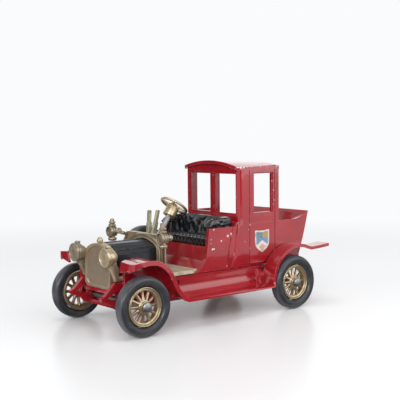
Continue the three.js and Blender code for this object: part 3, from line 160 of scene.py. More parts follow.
class Value:
    """A socket that takes part in Python arithmetic."""

    def __init__(self, nodes, socket):
        self.nodes = nodes
        self.socket = socket

    def math(self, operation, *others):
        return self.nodes.node("ShaderNodeMath", {"operation": operation}, dict(enumerate((self, *others))))

    def __add__(self, other):
        return self.math("ADD", other)

    def __sub__(self, other):
        return self.math("SUBTRACT", other)

    def __rsub__(self, other):
        return self.nodes.node("ShaderNodeMath", {"operation": "SUBTRACT"}, {0: other, 1: self})

    def __mul__(self, other):
        return self.math("MULTIPLY", other)

    __radd__ = __add__
    __rmul__ = __mul__

    def step(self, low, high):
        """A smooth ramp from 0 at low to 1 at high, either way round."""
        rising = {"Value": self, "From Min": min(low, high), "From Max": max(low, high)}
        ramp = self.nodes.node("ShaderNodeMapRange", {"interpolation_type": "SMOOTHSTEP"}, rising)
        return ramp if low < high else 1 - ramp


class Nodes:
    """A node tree that is built node by node."""

    def __init__(self, tree):
        self.tree = tree

    def node(self, kind, settings=None, sockets=None, output=0):
        """Adds a node with its settings and the values or links of its sockets, and gives one of its outputs."""
        node = self.tree.nodes.new(kind)
        for key, value in (settings or {}).items():
            setattr(node, key, value)
        for key, value in (sockets or {}).items():
            self.feed(node.inputs[key], value)
        return Value(self, node.outputs[output])

    def feed(self, socket, value):
        if isinstance(value, Value):
            self.tree.links.new(value.socket, socket)
        elif socket.type == "RGBA":
            socket.default_value = (*value, 1.0)
        else:
            socket.default_value = value

    def blend(self, factor, first, second):
        return self.node("ShaderNodeMix", {"data_type": "RGBA"}, {0: factor, 6: first, 7: second}, output=2)

    def seen(self):
        """1 for what the camera, a mirror or glass sees, 0 for the light that falls."""
        camera, mirror, glass = (self.node("ShaderNodeLightPath", output=f"Is {ray} Ray")
                                 for ray in ("Camera", "Glossy", "Transmission"))
        return camera.math("MAXIMUM", mirror).math("MAXIMUM", glass)


class Finish(Nodes):
    """A procedural material on one Principled shader."""

    def __init__(self, name, **constants):
        self.material = bpy.data.materials.new(name)
        self.material.use_nodes = True
        super().__init__(self.material.node_tree)
        self.shader = self.tree.nodes["Principled BSDF"]
        for socket, value in constants.items():
            self.set(socket.replace("_", " "), value)
        self.place = self.node("ShaderNodeTexCoord", output="Object")

    def set(self, socket, value):
        self.feed(self.shader.inputs[socket], value)

    def noise(self, grain, detail=2.0, stretch=(1, 1, 1)):
        """Noise whose grain is given in millimetres."""
        place = self.node("ShaderNodeMapping", {}, {"Vector": self.place, "Scale": stretch})
        return self.node("ShaderNodeTexNoise", {}, {"Vector": place, "Scale": 1 / (grain * MM), "Detail": detail})

    def axis(self, name):
        """Object coordinate along X, Y or Z in millimetres."""
        return self.node("ShaderNodeSeparateXYZ", {}, {0: self.place}, output=name) * (1 / MM)

    def edges(self, radius):
        """How far the surface turns within a radius in millimetres: 0 on flats, rising at edges."""
        soft = self.node("ShaderNodeBevel", {"samples": 4}, {"Radius": radius * MM})
        plain = self.node("ShaderNodeNewGeometry", output="Normal")
        return 1 - self.node("ShaderNodeVectorMath", {"operation": "DOT_PRODUCT"}, {0: soft, 1: plain}, "Value")

    def hollows(self, reach):
        """Where the piece's own surface shades itself within a reach in millimetres: 1 in corners, 0 in the open."""
        settings = {"only_local": True, "samples": 6}
        return 1 - self.node("ShaderNodeAmbientOcclusion", settings, {"Distance": reach * MM}, output="AO")

    def spots(self, places, ragged):
        """Ragged spots at points of the piece, each given as x, y, z and radius in millimetres."""
        total = None
        for x, y, z, radius in places:
            centre = (x * MM, y * MM, z * MM)
            gap = self.node("ShaderNodeVectorMath", {"operation": "DISTANCE"}, {0: self.place, 1: centre}, "Value")
            spot = (gap * (1 / MM) + ragged * radius).step(radius * 1.55, radius * 1.35)
            total = spot if total is None else total.math("MAXIMUM", spot)
        return total

    def relief(self, height, distance):
        """Height in the range 0 to 1 as bumps of a distance in millimetres."""
        self.set("Normal", self.node("ShaderNodeBump", {}, {"Height": height, "Distance": distance * MM}))


# Chips in the enamel: x, y, z and radius in millimetres
ENAMEL_CHIPS = (
    (-2.6, 13.3, 26.5, 0.42), (-4.0, 13.3, 27.1, 0.34), (-4.3, 13.3, 26.4, 0.2), (0.25, 13.3, 25.1, 0.3),
    (4.05, 13.3, 22.7, 0.36), (3.4, 13.3, 22.75, 0.3), (4.6, 13.3, 25.9, 0.16), (4.7, 13.3, 24.6, 0.14),
    (3.4, 13.3, 29.0, 0.22), (-11.7, 14.1, 29.6, 0.26), (-11.2, 14.1, 28.1, 0.15), (-9.5, 14.1, 24.1, 0.13),
    (-7.7, 14.2, 49.0, 0.5), (-6.8, 13.8, 49.1, 0.5), (-8.9, 14.3, 48.9, 0.4), (-16.5, 14.3, 48.95, 0.2),
    (-6.6, 13.2, 49.2, 0.3), (-12.4, 14.3, 48.95, 0.16), (-19.8, 14.3, 49.0, 0.14), (-10.4, 14.3, 48.9, 0.14),
    (-24.2, 14.3, 49.0, 0.34), (-22.8, 14.1, 40.7, 0.16), (-23.0, 14.1, 37.3, 0.2), (-17.8, 14.1, 33.4, 0.3),
    (-16.4, 14.1, 33.45, 0.25), (-19.6, 14.1, 33.4, 0.22), (-22.6, 14.1, 36.0, 0.1),
    (-13.6, 16.2, 14.0, 0.22), (-13.6, 16.1, 13.2, 0.14), (-15.2, 16.2, 14.1, 0.14), (-18.1, 16.2, 13.9, 0.2),
    (-13.6, 16.2, 11.0, 0.16), (4.0, 20.8, 8.8, 0.2), (-3.0, 20.8, 8.9, 0.14), (-11.0, 20.8, 8.9, 0.18),
    (36.5, 20.7, 20.6, 0.16), (41.6, 19.9, 21.4, 0.2), (-29.6, 20.7, 20.6, 0.16),
)


def scaled(tone, factor):
    """A colour made darker or lighter by a factor."""
    return [channel * factor for channel in tone]


def red_enamel():
    """Gloss red under a clear coat, with a painted highlight along its edges, and chipped here and there to pale
    metal.
    """
    paint = Finish("red_enamel", Coat_Roughness=0.02, Coat_IOR=1.45, IOR=1.46)
    tint = colours()
    broad = paint.noise(9.0, 3.0)
    fine = paint.noise(0.35, 3.0)
    speckle = paint.noise(0.16, 1.0)
    red = paint.blend(broad.step(0.35, 0.7), scaled(tint.enamel, 0.82), tint.enamel)
    edge = paint.edges(0.3)
    worn = edge.step(0.02, 0.22) * paint.noise(1.6, 4.0).step(0.64, 0.70)
    specks = speckle.step(0.79, 0.83) * broad.step(0.45, 0.6)
    chips = paint.spots(ENAMEL_CHIPS, fine).math("MAXIMUM", worn).math("MAXIMUM", specks)
    # Painted highlight: the red turns lighter along the edges, standing in for light caught on rounded edges.
    lit = paint.blend(edge.step(0.03, 0.3) * 0.5, red, (0.52, 0.11, 0.12))
    paint.set("Base Color", paint.blend(chips, lit, tint.bare_metal))
    paint.set("Roughness", 0.13 + broad * 0.1 + chips * 0.4)
    paint.set("Coat Weight", 0.8 - chips * 0.8)
    paint.relief(paint.noise(1.3) * 0.55 + fine * 0.08 - chips * 0.35, 0.05)
    return paint.material


def plated(name, tone, shade, metal):
    """Dull gold plating with browner patches, painted shade in its hollows, and lighter edges that are partly wear
    and partly a painted highlight.
    """
    gold = Finish(name, IOR=1.5)
    cloud = gold.noise(2.6, 4.0)
    lumps = gold.noise(0.9, 3.0)
    grain = gold.noise(0.3)
    edge = gold.edges(0.3)
    # Painted shade: where the piece shades itself, the plating darkens towards deep brown and turns rougher.
    hollow_shade = gold.hollows(0.9).step(0.22, 0.8)
    brown = gold.blend(cloud.step(0.38, 0.68), tone, [a * b for a, b in zip(tone, shade)])
    # Lighter edges: partly rubbed plating, partly a painted highlight on the edges.
    bright = [min(1.0, channel * 1.5 + 0.05) for channel in tone]
    rubbed = gold.blend(edge.step(0.03, 0.28) * (0.4 + lumps * 0.4), brown, bright)
    gold.set("Base Color", gold.blend(hollow_shade * 0.8, rubbed, scaled(tone, 0.2)))
    gold.set("Metallic", metal - cloud.step(0.5, 0.8) * 0.25)
    gold.set("Roughness", 0.24 + cloud * 0.14 + grain * 0.06 + hollow_shade * 0.2)
    gold.relief(cloud * 0.5 + lumps * 0.4 + grain * 0.15, 0.07)
    return gold.material


def black_moulding(name, tone, index, gloss, grain_depth, rub):
    """Black plastic with faint flow marks and lighter, rubbed edges."""
    black = Finish(name, IOR=index, Coat_Roughness=0.06)
    flow = black.noise(3.0, 3.0, (0.4, 1, 1))
    grain = black.noise(0.25)
    rubbed = black.edges(0.25).step(0.03, 0.3) * black.noise(1.2, 3.0).step(0.3, 0.6)
    dusty = black.blend(flow.step(0.4, 0.75) * 0.5, tone, [channel * 1.5 + 0.004 for channel in tone])
    black.set("Base Color", black.blend(rubbed * rub, dusty, (0.27, 0.27, 0.31)))
    black.set("Roughness", gloss + flow * 0.1 + rubbed * 0.1)
    black.set("Coat Weight", (1 - rubbed) * (0.5 - flow * 0.3))
    black.relief(flow * 0.4 + grain * 0.6, grain_depth)
    return black.material


def tyre_rubber():
    """Black rubber, greyer on the tread than on the sides."""
    rubber = Finish("tyre_rubber", IOR=1.5)
    cloud = rubber.noise(2.2, 4.0)
    grain = rubber.noise(0.18)
    tone = colours().rubber
    normal = rubber.node("ShaderNodeNewGeometry", output="Normal")
    sideways = rubber.node("ShaderNodeSeparateXYZ", {}, {0: normal}, "Y")
    tread = sideways.math("ABSOLUTE").step(0.75, 0.35)
    mottled = rubber.blend(cloud.step(0.4, 0.72), tone, scaled(tone, 1.45))
    rubber.set("Base Color", rubber.blend(tread * 0.8, mottled, scaled(tone, 2.6)))
    rubber.set("Roughness", 0.22 + cloud * 0.2)
    rubber.relief(grain * 0.5 + cloud * 0.5, 0.03)
    return rubber.material


def bright_steel():
    """Plain steel with fine marks drawn out along the axles."""
    steel = Finish("bright_steel", Metallic=1.0)
    marks = steel.noise(0.5, 3.0, (1, 0.2, 1))
    tone = colours().steel
    steel.set("Base Color", steel.blend(marks.step(0.4, 0.7), tone, scaled(tone, 0.72)))
    steel.set("Roughness", 0.34 + marks * 0.24)
    steel.relief(marks, 0.02)
    return steel.material


def worn_paint(name, tone, metal):
    """Thin paint with darker, worn patches."""
    paint = Finish(name, Metallic=metal)
    cloud = paint.noise(1.8, 4.0)
    grain = paint.noise(0.3)
    paint.set("Base Color", paint.blend(cloud.step(0.4, 0.7), tone, scaled(tone, 0.6)))
    paint.set("Roughness", 0.36 + cloud * 0.2)
    paint.relief(cloud * 0.5 + grain * 0.5, 0.03)
    return paint.material


def badge_print(centre_x, top, height):
    """A plain chevron under a striped head, in soft printed colours."""
    ink = Finish("badge_print", Coat_Weight=0.3, Coat_Roughness=0.1)
    across = (ink.axis("X") - centre_x).math("ABSOLUTE")
    down = (top - ink.axis("Z")) * (1 / height)
    slant = down - across * 0.09
    fade = ink.noise(0.5, 3.0).step(0.3, 0.8) * 0.25
    stripe = (ink.axis("X") * 0.9).math("SINE").step(-0.15, 0.15)
    head = ink.blend(stripe, (0.05, 0.19, 0.24), (0.40, 0.22, 0.05))
    body = ink.blend(slant.step(0.60, 0.62), (0.10, 0.22, 0.42), (0.58, 0.30, 0.22))
    chevron = slant.step(0.44, 0.46) * slant.step(0.62, 0.60)
    field = ink.blend(chevron, ink.blend(down.step(0.34, 0.36), head, body), BADGE_CREAM)
    ink.set("Base Color", ink.blend(fade, field, (0.62, 0.58, 0.52)))
    ink.set("Roughness", 0.32 + fade)
    return ink.material


# How far the patches of each plating darken in red, green and blue, and how metallic it is
PLATING = {
    "gold": ((0.72, 0.66, 0.62), 0.86),
    "aged_gold": ((0.86, 0.82, 0.78), 0.66),
    "dull_gold": ((0.66, 0.6, 0.54), 0.6),
    "brown_gold": ((0.75, 0.7, 0.66), 0.5),
    "lever_gold": ((0.6, 0.56, 0.5), 0.5),
    "tray_gold": ((0.66, 0.6, 0.54), 0.25),
    "core_brown": ((0.86, 0.82, 0.8), 0.5),
    "copper": ((0.78, 0.68, 0.62), 0.86),
}
OTHER_FINISHES = {
    "red_enamel": red_enamel,
    "bonnet_black": lambda: black_moulding("bonnet_black", colours().bonnet, 1.36, 0.26, 0.02, 0.9),
    "bench_black": lambda: black_moulding("bench_black", colours().bench, 1.5, 0.09, 0.012, 0.4),
    "tyre_rubber": tyre_rubber,
    "bright_steel": bright_steel,
    "column_grey": lambda: worn_paint("column_grey", colours().column, 0.25),
}
FINISHES = {}


def finish(name):
    """The finished material of that name, made once."""
    if name not in FINISHES:
        if name in PLATING:
            FINISHES[name] = plated(name, getattr(colours(), name), *PLATING[name])
        else:
            FINISHES[name] = OTHER_FINISHES[name]()
    return FINISHES[name]


# Meshes


def piece(name, mesh, material, body, slot, *nodes):
    """Puts a finished mesh in the scene, on its body and in place of its nodes."""
    obj = bpy.data.objects.new(name, mesh)
    bpy.context.scene.collection.objects.link(obj)
    if not mesh.materials:
        mesh.materials.append(material)
    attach(obj, body)
    if nodes:
        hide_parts(*nodes)
    return obj


def mesh_from(name, build):
    """A mesh whose closed shape is built in a bmesh, with its faces turned outwards."""
    shape = bmesh.new()
    build(shape)
    bmesh.ops.remove_doubles(shape, verts=shape.verts, dist=1e-7)
    bmesh.ops.recalc_face_normals(shape, faces=shape.faces)
    mesh = bpy.data.meshes.new(name)
    shape.to_mesh(mesh)
    shape.free()
    return smooth(mesh)


def made(name, build, coat, body, slot, *nodes):
    """A closed shape built in a bmesh, as a piece with a finish."""
    return piece(name, mesh_from(name, build), finish(coat), body, slot, *nodes)


def smooth(mesh):
    """Shades a mesh smooth, apart from its sharp edges."""
    mesh.polygons.foreach_set("use_smooth", [True] * len(mesh.polygons))
    mesh.set_sharp_from_angle(angle=SMOOTH_ANGLE)
    return mesh


def grid(shape, rows, close_rows=False, close_columns=False):
    """Quads between rows of points, with the ends joined where asked."""
    verts = [[shape.verts.new(point) for point in row] for row in rows]
    for i in range(len(rows) - (not close_rows)):
        here, after = verts[i], verts[(i + 1) % len(rows)]
        for j in range(len(here) - (not close_columns)):
            k = (j + 1) % len(here)
            shape.faces.new((here[j], here[k], after[k], after[j]))
    return verts


def lofted(shape, rows):
    """A solid through rings of points, with both ends closed."""
    verts = grid(shape, rows, close_columns=True)
    shape.faces.new(verts[0])
    shape.faces.new(list(reversed(verts[-1])))


def swept(shape, stations, section):
    """A solid through rings of points in millimetres, which a section gives for each share of the way along."""
    lofted(shape, [[Vector(point) * MM for point in section(i / stations)] for i in range(stations + 1)])


def turned(shape, profile, matrix, segments, ring=False):
    """A shape turned about Z from radius and height in millimetres, then moved by a matrix.

    The profile is closed in itself for a ring. Otherwise it ends near the axis, where a small flat closes it."""
    circle = [(math.cos(a), math.sin(a)) for a in full_turn(segments)]
    rows = [[matrix @ (Vector((radius * c, radius * s, height)) * MM) for c, s in circle]
            for radius, height in profile]
    if ring:
        grid(shape, rows, close_rows=True, close_columns=True)
    else:
        lofted(shape, rows)


def rounded(profile, radius, steps=3):
    """A profile with its corners cut to small arcs, in the profile's own units."""
    points = [Vector(point) for point in profile]
    softened = [points[0]]
    for before, corner, after in zip(points, points[1:], points[2:]):
        reach = min(radius, (corner - before).length * 0.45, (after - corner).length * 0.45)
        start = corner + (before - corner).normalized() * reach
        end = corner + (after - corner).normalized() * reach
        for i in range(steps + 1):
            t = i / steps
            softened.append(start * (1 - t) ** 2 + corner * 2 * t * (1 - t) + end * t ** 2)
    return [tuple(point) for point in softened + [points[-1]]]


def refined(node, name, width, reshape=None):
    """A copy of a node's mesh with its doubles merged, its flats cleaned and its edges weighted for rounding."""
    mesh = NODES[node].data.copy()
    mesh.name = name
    mesh.materials.clear()
    shape = bmesh.new()
    shape.from_mesh(mesh)
    bmesh.ops.remove_doubles(shape, verts=shape.verts, dist=2e-6)
    if reshape:
        reshape(shape)
    bmesh.ops.dissolve_limit(
        shape, angle_limit=FLAT_ANGLE, verts=shape.verts, edges=shape.edges, use_dissolve_boundaries=False)
    bmesh.ops.triangulate(shape, faces=shape.faces)
    weight = shape.edges.layers.float.new("bevel_weight_edge")
    room = 2.4 * width
    roomy = {vert for vert in shape.verts if min(edge.calc_length() for edge in vert.link_edges) > room}
    for edge in shape.edges:
        sharp = edge.is_manifold and edge.calc_face_angle() > SHARP_ANGLE
        edge[weight] = 1.0 if sharp and roomy.issuperset(edge.verts) else 0.0
        edge.smooth = not sharp or edge[weight] > 0.0
    shape.to_mesh(mesh)
    shape.free()
    mesh.polygons.foreach_set("use_smooth", [True] * len(mesh.polygons))
    return mesh


def refined_piece(node, name, width, coat, slot, reshape=None):
    """A refined copy of a node of the car body as a piece, with its edges rounded and its flats evenly shaded."""
    obj = piece(name, refined(node, name, width, reshape), finish(coat), "car", slot, node)
    bevel = obj.modifiers.new("Edge Rounding", "BEVEL")
    bevel.width = width
    bevel.segments = 3
    bevel.limit_method = "WEIGHT"
    bevel.use_clamp_overlap = True
    obj.modifiers.new("Even Shading", "WEIGHTED_NORMAL").keep_sharp = True
    return obj


def cut(shape, touched, point, normal):
    """Cuts the faces that have a touched corner along a plane through a point in millimetres."""
    faces = [face for face in shape.faces if any(touched(vert.co / MM) for vert in face.verts)]
    geom = {*faces}
    for face in faces:
        geom.update(face.edges, face.verts)
    bmesh.ops.bisect_plane(
        shape, geom=list(geom), dist=1e-7, plane_co=Vector(point) * MM, plane_no=Vector(normal).normalized())


def along(axis, origin):
    """A matrix that turns Z to an axis and moves to an origin."""
    return Matrix.Translation(origin) @ Vector(axis).to_track_quat("Z", "Y").to_matrix().to_4x4()


def spread(mesh, count, material):
    """The mesh of a shape copied round Z by Geometry Nodes, in a finish."""
    group = bpy.data.node_groups.new("Spread Round Hub", "GeometryNodeTree")
    group.interface.new_socket("Shape", in_out="OUTPUT", socket_type="NodeSocketGeometry")
    inputs = {name: group.interface.new_socket(name, in_out="INPUT", socket_type="NodeSocket" + kind).identifier
              for name, kind in (("Shape", "Geometry"), ("Count", "Int"), ("Finish", "Material"))}
    nodes = Nodes(group)
    shape, total, coat = (nodes.node("NodeGroupInput", output=name) for name in inputs)
    turn = nodes.node("GeometryNodeInputIndex").math("DIVIDE", total) * (2 * math.pi)
    angles = nodes.node("ShaderNodeCombineXYZ", {}, {"Z": turn})
    copies = nodes.node("GeometryNodeInstanceOnPoints", {}, {
        "Points": nodes.node("GeometryNodePoints", {}, {"Count": total}),
        "Instance": shape,
        "Rotation": nodes.node("FunctionNodeEulerToRotation", {}, {0: angles})})
    real = nodes.node("GeometryNodeRealizeInstances", {}, {0: copies})
    coated = nodes.node("GeometryNodeSetMaterial", {}, {"Geometry": real, "Material": coat})
    nodes.feed(group.nodes.new("NodeGroupOutput").inputs[0], coated)
    carrier = bpy.data.objects.new("spread_carrier", mesh)
    bpy.context.scene.collection.objects.link(carrier)
    modifier = carrier.modifiers.new("Spread", "NODES")
    modifier.node_group = group
    modifier[inputs["Count"]] = count
    modifier[inputs["Finish"]] = material
    result = bpy.data.meshes.new_from_object(carrier.evaluated_get(bpy.context.evaluated_depsgraph_get()))
    bpy.data.objects.remove(carrier)
    bpy.data.node_groups.remove(group)
    return result


def joined(name, parts, *materials):
    """One mesh from several, each with the matrix that places it and a material of its own."""
    shape = bmesh.new()
    for index, (mesh, matrix) in enumerate(parts):
        start, faces = len(shape.verts), len(shape.faces)
        shape.from_mesh(mesh)
        shape.verts.ensure_lookup_table()
        shape.faces.ensure_lookup_table()
        bmesh.ops.transform(shape, matrix=matrix, verts=shape.verts[start:])
        for face in shape.faces[faces:]:
            face.material_index = index
    result = bpy.data.meshes.new(name)
    shape.to_mesh(result)
    shape.free()
    for material in materials:
        result.materials.append(material)
    return smooth(result)


def spoked_wheel(node, body, frame, rings, spoke, count, spoke_coat):
    """A plated wheel: turned rings with spokes spread between them."""
    rim = mesh_from(node + "_rim", rings)
    spokes = spread(spoke, count, finish(spoke_coat))
    mesh = joined(node + "_plated", [(rim, frame), (spokes, frame)], finish("gold"), finish(spoke_coat))
    piece(node + "_plated", mesh, finish("gold"), body, "gold_trim", node)


def spoke_shape(shape, inner, outer, half_width, half_depth, inner_lift, outer_lift):
    """A spoke along X with an oval section, narrowest at its middle, in millimetres."""

    def section(t):
        swell = 1 + 0.45 * (1 - t) ** 5 + 0.3 * t ** 6
        x = inner + (outer - inner) * t
        lift = inner_lift + (outer_lift - inner_lift) * t
        return [(x, half_width * swell * math.cos(a), half_depth * swell * math.sin(a) + lift) for a in full_turn(14)]

    swept(shape, 10, section)


def slab(shape, outline, centre_y, half, inset):
    """A plate across Y from an outline of X and Z in millimetres, with its faces inset and its rim rounded."""
    points = [Vector(point) for point in outline]
    middle = sum(points, Vector((0, 0))) / len(points)
    rows = []
    for level, rim in ((-1.0, 0.16), (-0.82, 0.04), (-0.5, 0.0), (0.5, 0.0), (0.82, 0.04), (1.0, 0.16)):
        places = [middle + (point - middle) * (1 - (rim + inset) / (point - middle).length) for point in points]
        rows.append([Vector((place.x, centre_y + level * half, place.y)) * MM for place in places])
    lofted(shape, rows)


# Castings


class TOWN_CAR_OT_castings(bpy.types.Operator):
    """Enamel the chassis casting and the body shell"""

    bl_idname = "town_car.castings"
    bl_label = "Enamel Castings"

    def execute(self, context):
        for node, reshape in (("chassis_casting", self.trim_guards), ("body_shell", self.round_body)):
            refined_piece(node, node + "_enamelled", sizes().edge_round, "red_enamel", "red_enamel", reshape)
        return {"FINISHED"}

    @staticmethod
    def trim_guards(shape):
        """Lets the noses of the front mudguards fall outwards, lifts their outer corners and bends the tails."""
        nose, nose_run, nose_axis, fall = 30.0, 5.0, 18.0, 0.1
        corner, corner_run, corner_axis, corner_top, lift = 36.5, 4.0, 14.4, 20.6, 0.2
        bends = ((-44.4, 0.32), (-40.9, 0.32), (-37.2, 0.07), (-35.3, -0.22), (-34.0, -0.2), (-32.0, 0.0))
        for vert in shape.verts:
            x, y, z = vert.co / MM
            reach = abs(y)
            if x > nose and z > 17.5 and reach > 13.0:
                rise = fall * (nose_axis - reach) * clamp((x - nose) / nose_run)
                if x > corner and z < corner_top:
                    rise += lift * max(0.0, reach - corner_axis) * clamp((x - corner) / corner_run)
                vert.co.z += rise * MM
            elif x < bends[-1][0] and z > 18.0 and reach > 14.0:
                for (start, low), (end, high) in zip(bends, bends[1:]):
                    if start - 0.1 <= x < end:
                        vert.co.z += (low + (high - low) * (x - start) / (end - start)) * MM
                        break

    @staticmethod
    def round_body(shape):
        """Rounds the cab's upright front corners, the panel edges below them and the front corners of the roof,
        and turns the body sides in towards a slit above the chassis, which is higher further back."""
        steps = [math.tan(math.radians(9 * i)) for i in range(5)]
        foot, sill, foot_front, sill_front = 15.6, 30.7, -3.8, -6.9
        lean = (sill_front - foot_front) / (sill - foot)
        band, swell, panel_depth, swell_depth = 2.6, 28.6, 0.36, 0.2
        turn, tuck, strip, strip_side = 20.2, 0.35, 0.9, 13.3
        slit, slit_end, cavity, cavity_start = 0.4, -6.0, 0.85, -9.0

        def panel_front(z):
            return sill_front + lean * (z - sill)

        def wall(place):
            return sill - 0.05 < place.z < 48.7 and -9.9 < place.x < -6.85 and 12.1 < abs(place.y) < 14.15

        def roof(place):
            rim = place.x > -7.1 or abs(place.y) > 14.15
            return rim and place.z > 47.5 and place.x > -8.1 and abs(place.y) > 12.2

        def panel(place):
            return place.z < sill + 0.05 and abs(place.y) > 14.05 and -2.7 < place.x - panel_front(place.z) < 0.05

        def lower_side(place):
            return place.z < turn and abs(place.y) > 13.4

        def bottom(place):
            return place.z < foot + 0.05

        # Front, side, depth and width of each rounded corner, on the left (1) and the right (-1)
        corners = {
            (wall, 1): (-7.2, 14.1, 2.5, 1.9), (wall, -1): (-7.2, 14.1, 1.2, 0.9),
            (roof, 1): (-6.0, 14.3, 2.0, 2.0), (roof, -1): (-6.0, 14.3, 1.2, 1.2),
        }
        for (touched, hand), (front, side, deep, wide) in corners.items():
            for share in steps:
                cut(shape, touched, (front - deep * (1 - share), 0, 0), (1, 0, 0))
                cut(shape, touched, (0, hand * (side - wide * (1 - share)), 0), (0, 1, 0))
        for height in (sill, 29.7, swell):
            cut(shape, panel, (0, 0, height), (0, 0, 1))
        for hand in (1, -1):
            cut(shape, bottom, (0, hand * strip_side, 0), (0, 1, 0))
        for x in (slit_end, cavity_start):
            cut(shape, lower_side, (x, 0, 0), (1, 0, 0))
        for i in range(5):
            cut(shape, lower_side, (0, 0, turn - (turn - foot) * i / 5), (0, 0, 1))
        for share in steps:
            cut(shape, panel, (sill_front - band * (1 - share), 0, sill), (1, 0, -lean))
        for vert in shape.verts:
            place = vert.co / MM
            hand = math.copysign(1.0, place.y)
            if wall(place) or roof(place):
                front, side, deep, wide = corners[wall if wall(place) else roof, hand]
                u, v = 1 + (place.x - front) / deep, 1 + (abs(place.y) - side) / wide
                if u > 0 and v > 0:
                    shrink = max(u, v) / math.hypot(u, v)
                    vert.co.x = (front + deep * (u * shrink - 1)) * MM
                    vert.co.y = hand * (side + wide * (v * shrink - 1)) * MM
            elif panel(place):
                near = clamp(1 + (place.x - panel_front(place.z)) / band)
                depth = panel_depth + swell_depth * clamp((place.z - swell) / (sill - swell))
                vert.co.y -= hand * depth * (1 - math.sqrt(1 - near ** 2)) * MM
            if lower_side(place):
                vert.co.y -= hand * tuck * ((turn - place.z) / (turn - foot)) ** 2 * MM
                gap = slit + (cavity - slit) * clamp((slit_end - place.x) / (slit_end - cavity_start))
                vert.co.z += gap * max(0.0, 1 - (place.z - foot) / strip) * MM


class TOWN_CAR_OT_badge(bpy.types.Operator):
    """Fix the printed shield on the left door"""

    bl_idname = "town_car.badge"
    bl_label = "Fix Door Badge"

    def execute(self, context):
        height = sizes().badge_height / MM
        centre_x, top, face = -17.3, 27.45, 14.1
        half, waist, crest_rise = height * 0.43, 0.42, 0.22

        def outline(inset):
            wide = half - inset
            crest = [(wide * (k / 4 - 1), inset + crest_rise * math.sin(math.pi * k / 8) ** 2) for k in range(9)]
            flank = []
            for i in range(25):
                t = i / 24
                drop = height * (waist + (1 - waist) * t) - inset * 1.6 * t
                flank.append((wide * math.cos(math.pi / 2 * t ** 1.6), drop))
            return crest + flank + [(-x, z) for x, z in reversed(flank[:-1])]

        def build(shape, inset, *levels):
            lofted(shape, [[Vector((centre_x + x, face + level, top - z)) * MM for x, z in outline(inset)]
                           for level in levels])

        layers = (
            ("door_badge_border", 0.0, -0.05, 0.05, worn_paint("badge_cream", BADGE_CREAM, 0.0)),
            ("door_badge_field", 0.55, -0.02, 0.07, badge_print(centre_x, top, height)),
        )
        for name, inset, low, high, material in layers:
            mesh = mesh_from(name, lambda shape: build(shape, inset, low, high))
            piece(name, mesh, material, "car", "column_grey")
        return {"FINISHED"}


class TOWN_CAR_OT_underside(bpy.types.Operator):
    """Close the underside with the baseplate and its rivets"""

    bl_idname = "town_car.underside"
    bl_label = "Close Underside"

    def execute(self, context):
        refined_piece("baseplate", "baseplate_pressed", sizes().trim_round, "red_enamel", "red_enamel")
        head, shank = 0.4, 0.8
        for node in ("front_rivet", "rear_rivet"):
            low, high = box_of(node)
            radius = (high.y - low.y) / 2
            profile = rounded([(0.02, low.z), (radius * 0.8, low.z), (radius, low.z + head), (shank, low.z + head),
                               (shank, high.z), (0.02, high.z)], 0.12)
            frame = Matrix.Translation(Vector((low.x + high.x, low.y + high.y, 0)) / 2 * MM)
            made(node + "_turned", lambda shape: turned(shape, profile, frame, 32),
                 "bright_steel", "car", "steel", node)
        return {"FINISHED"}


# Trim


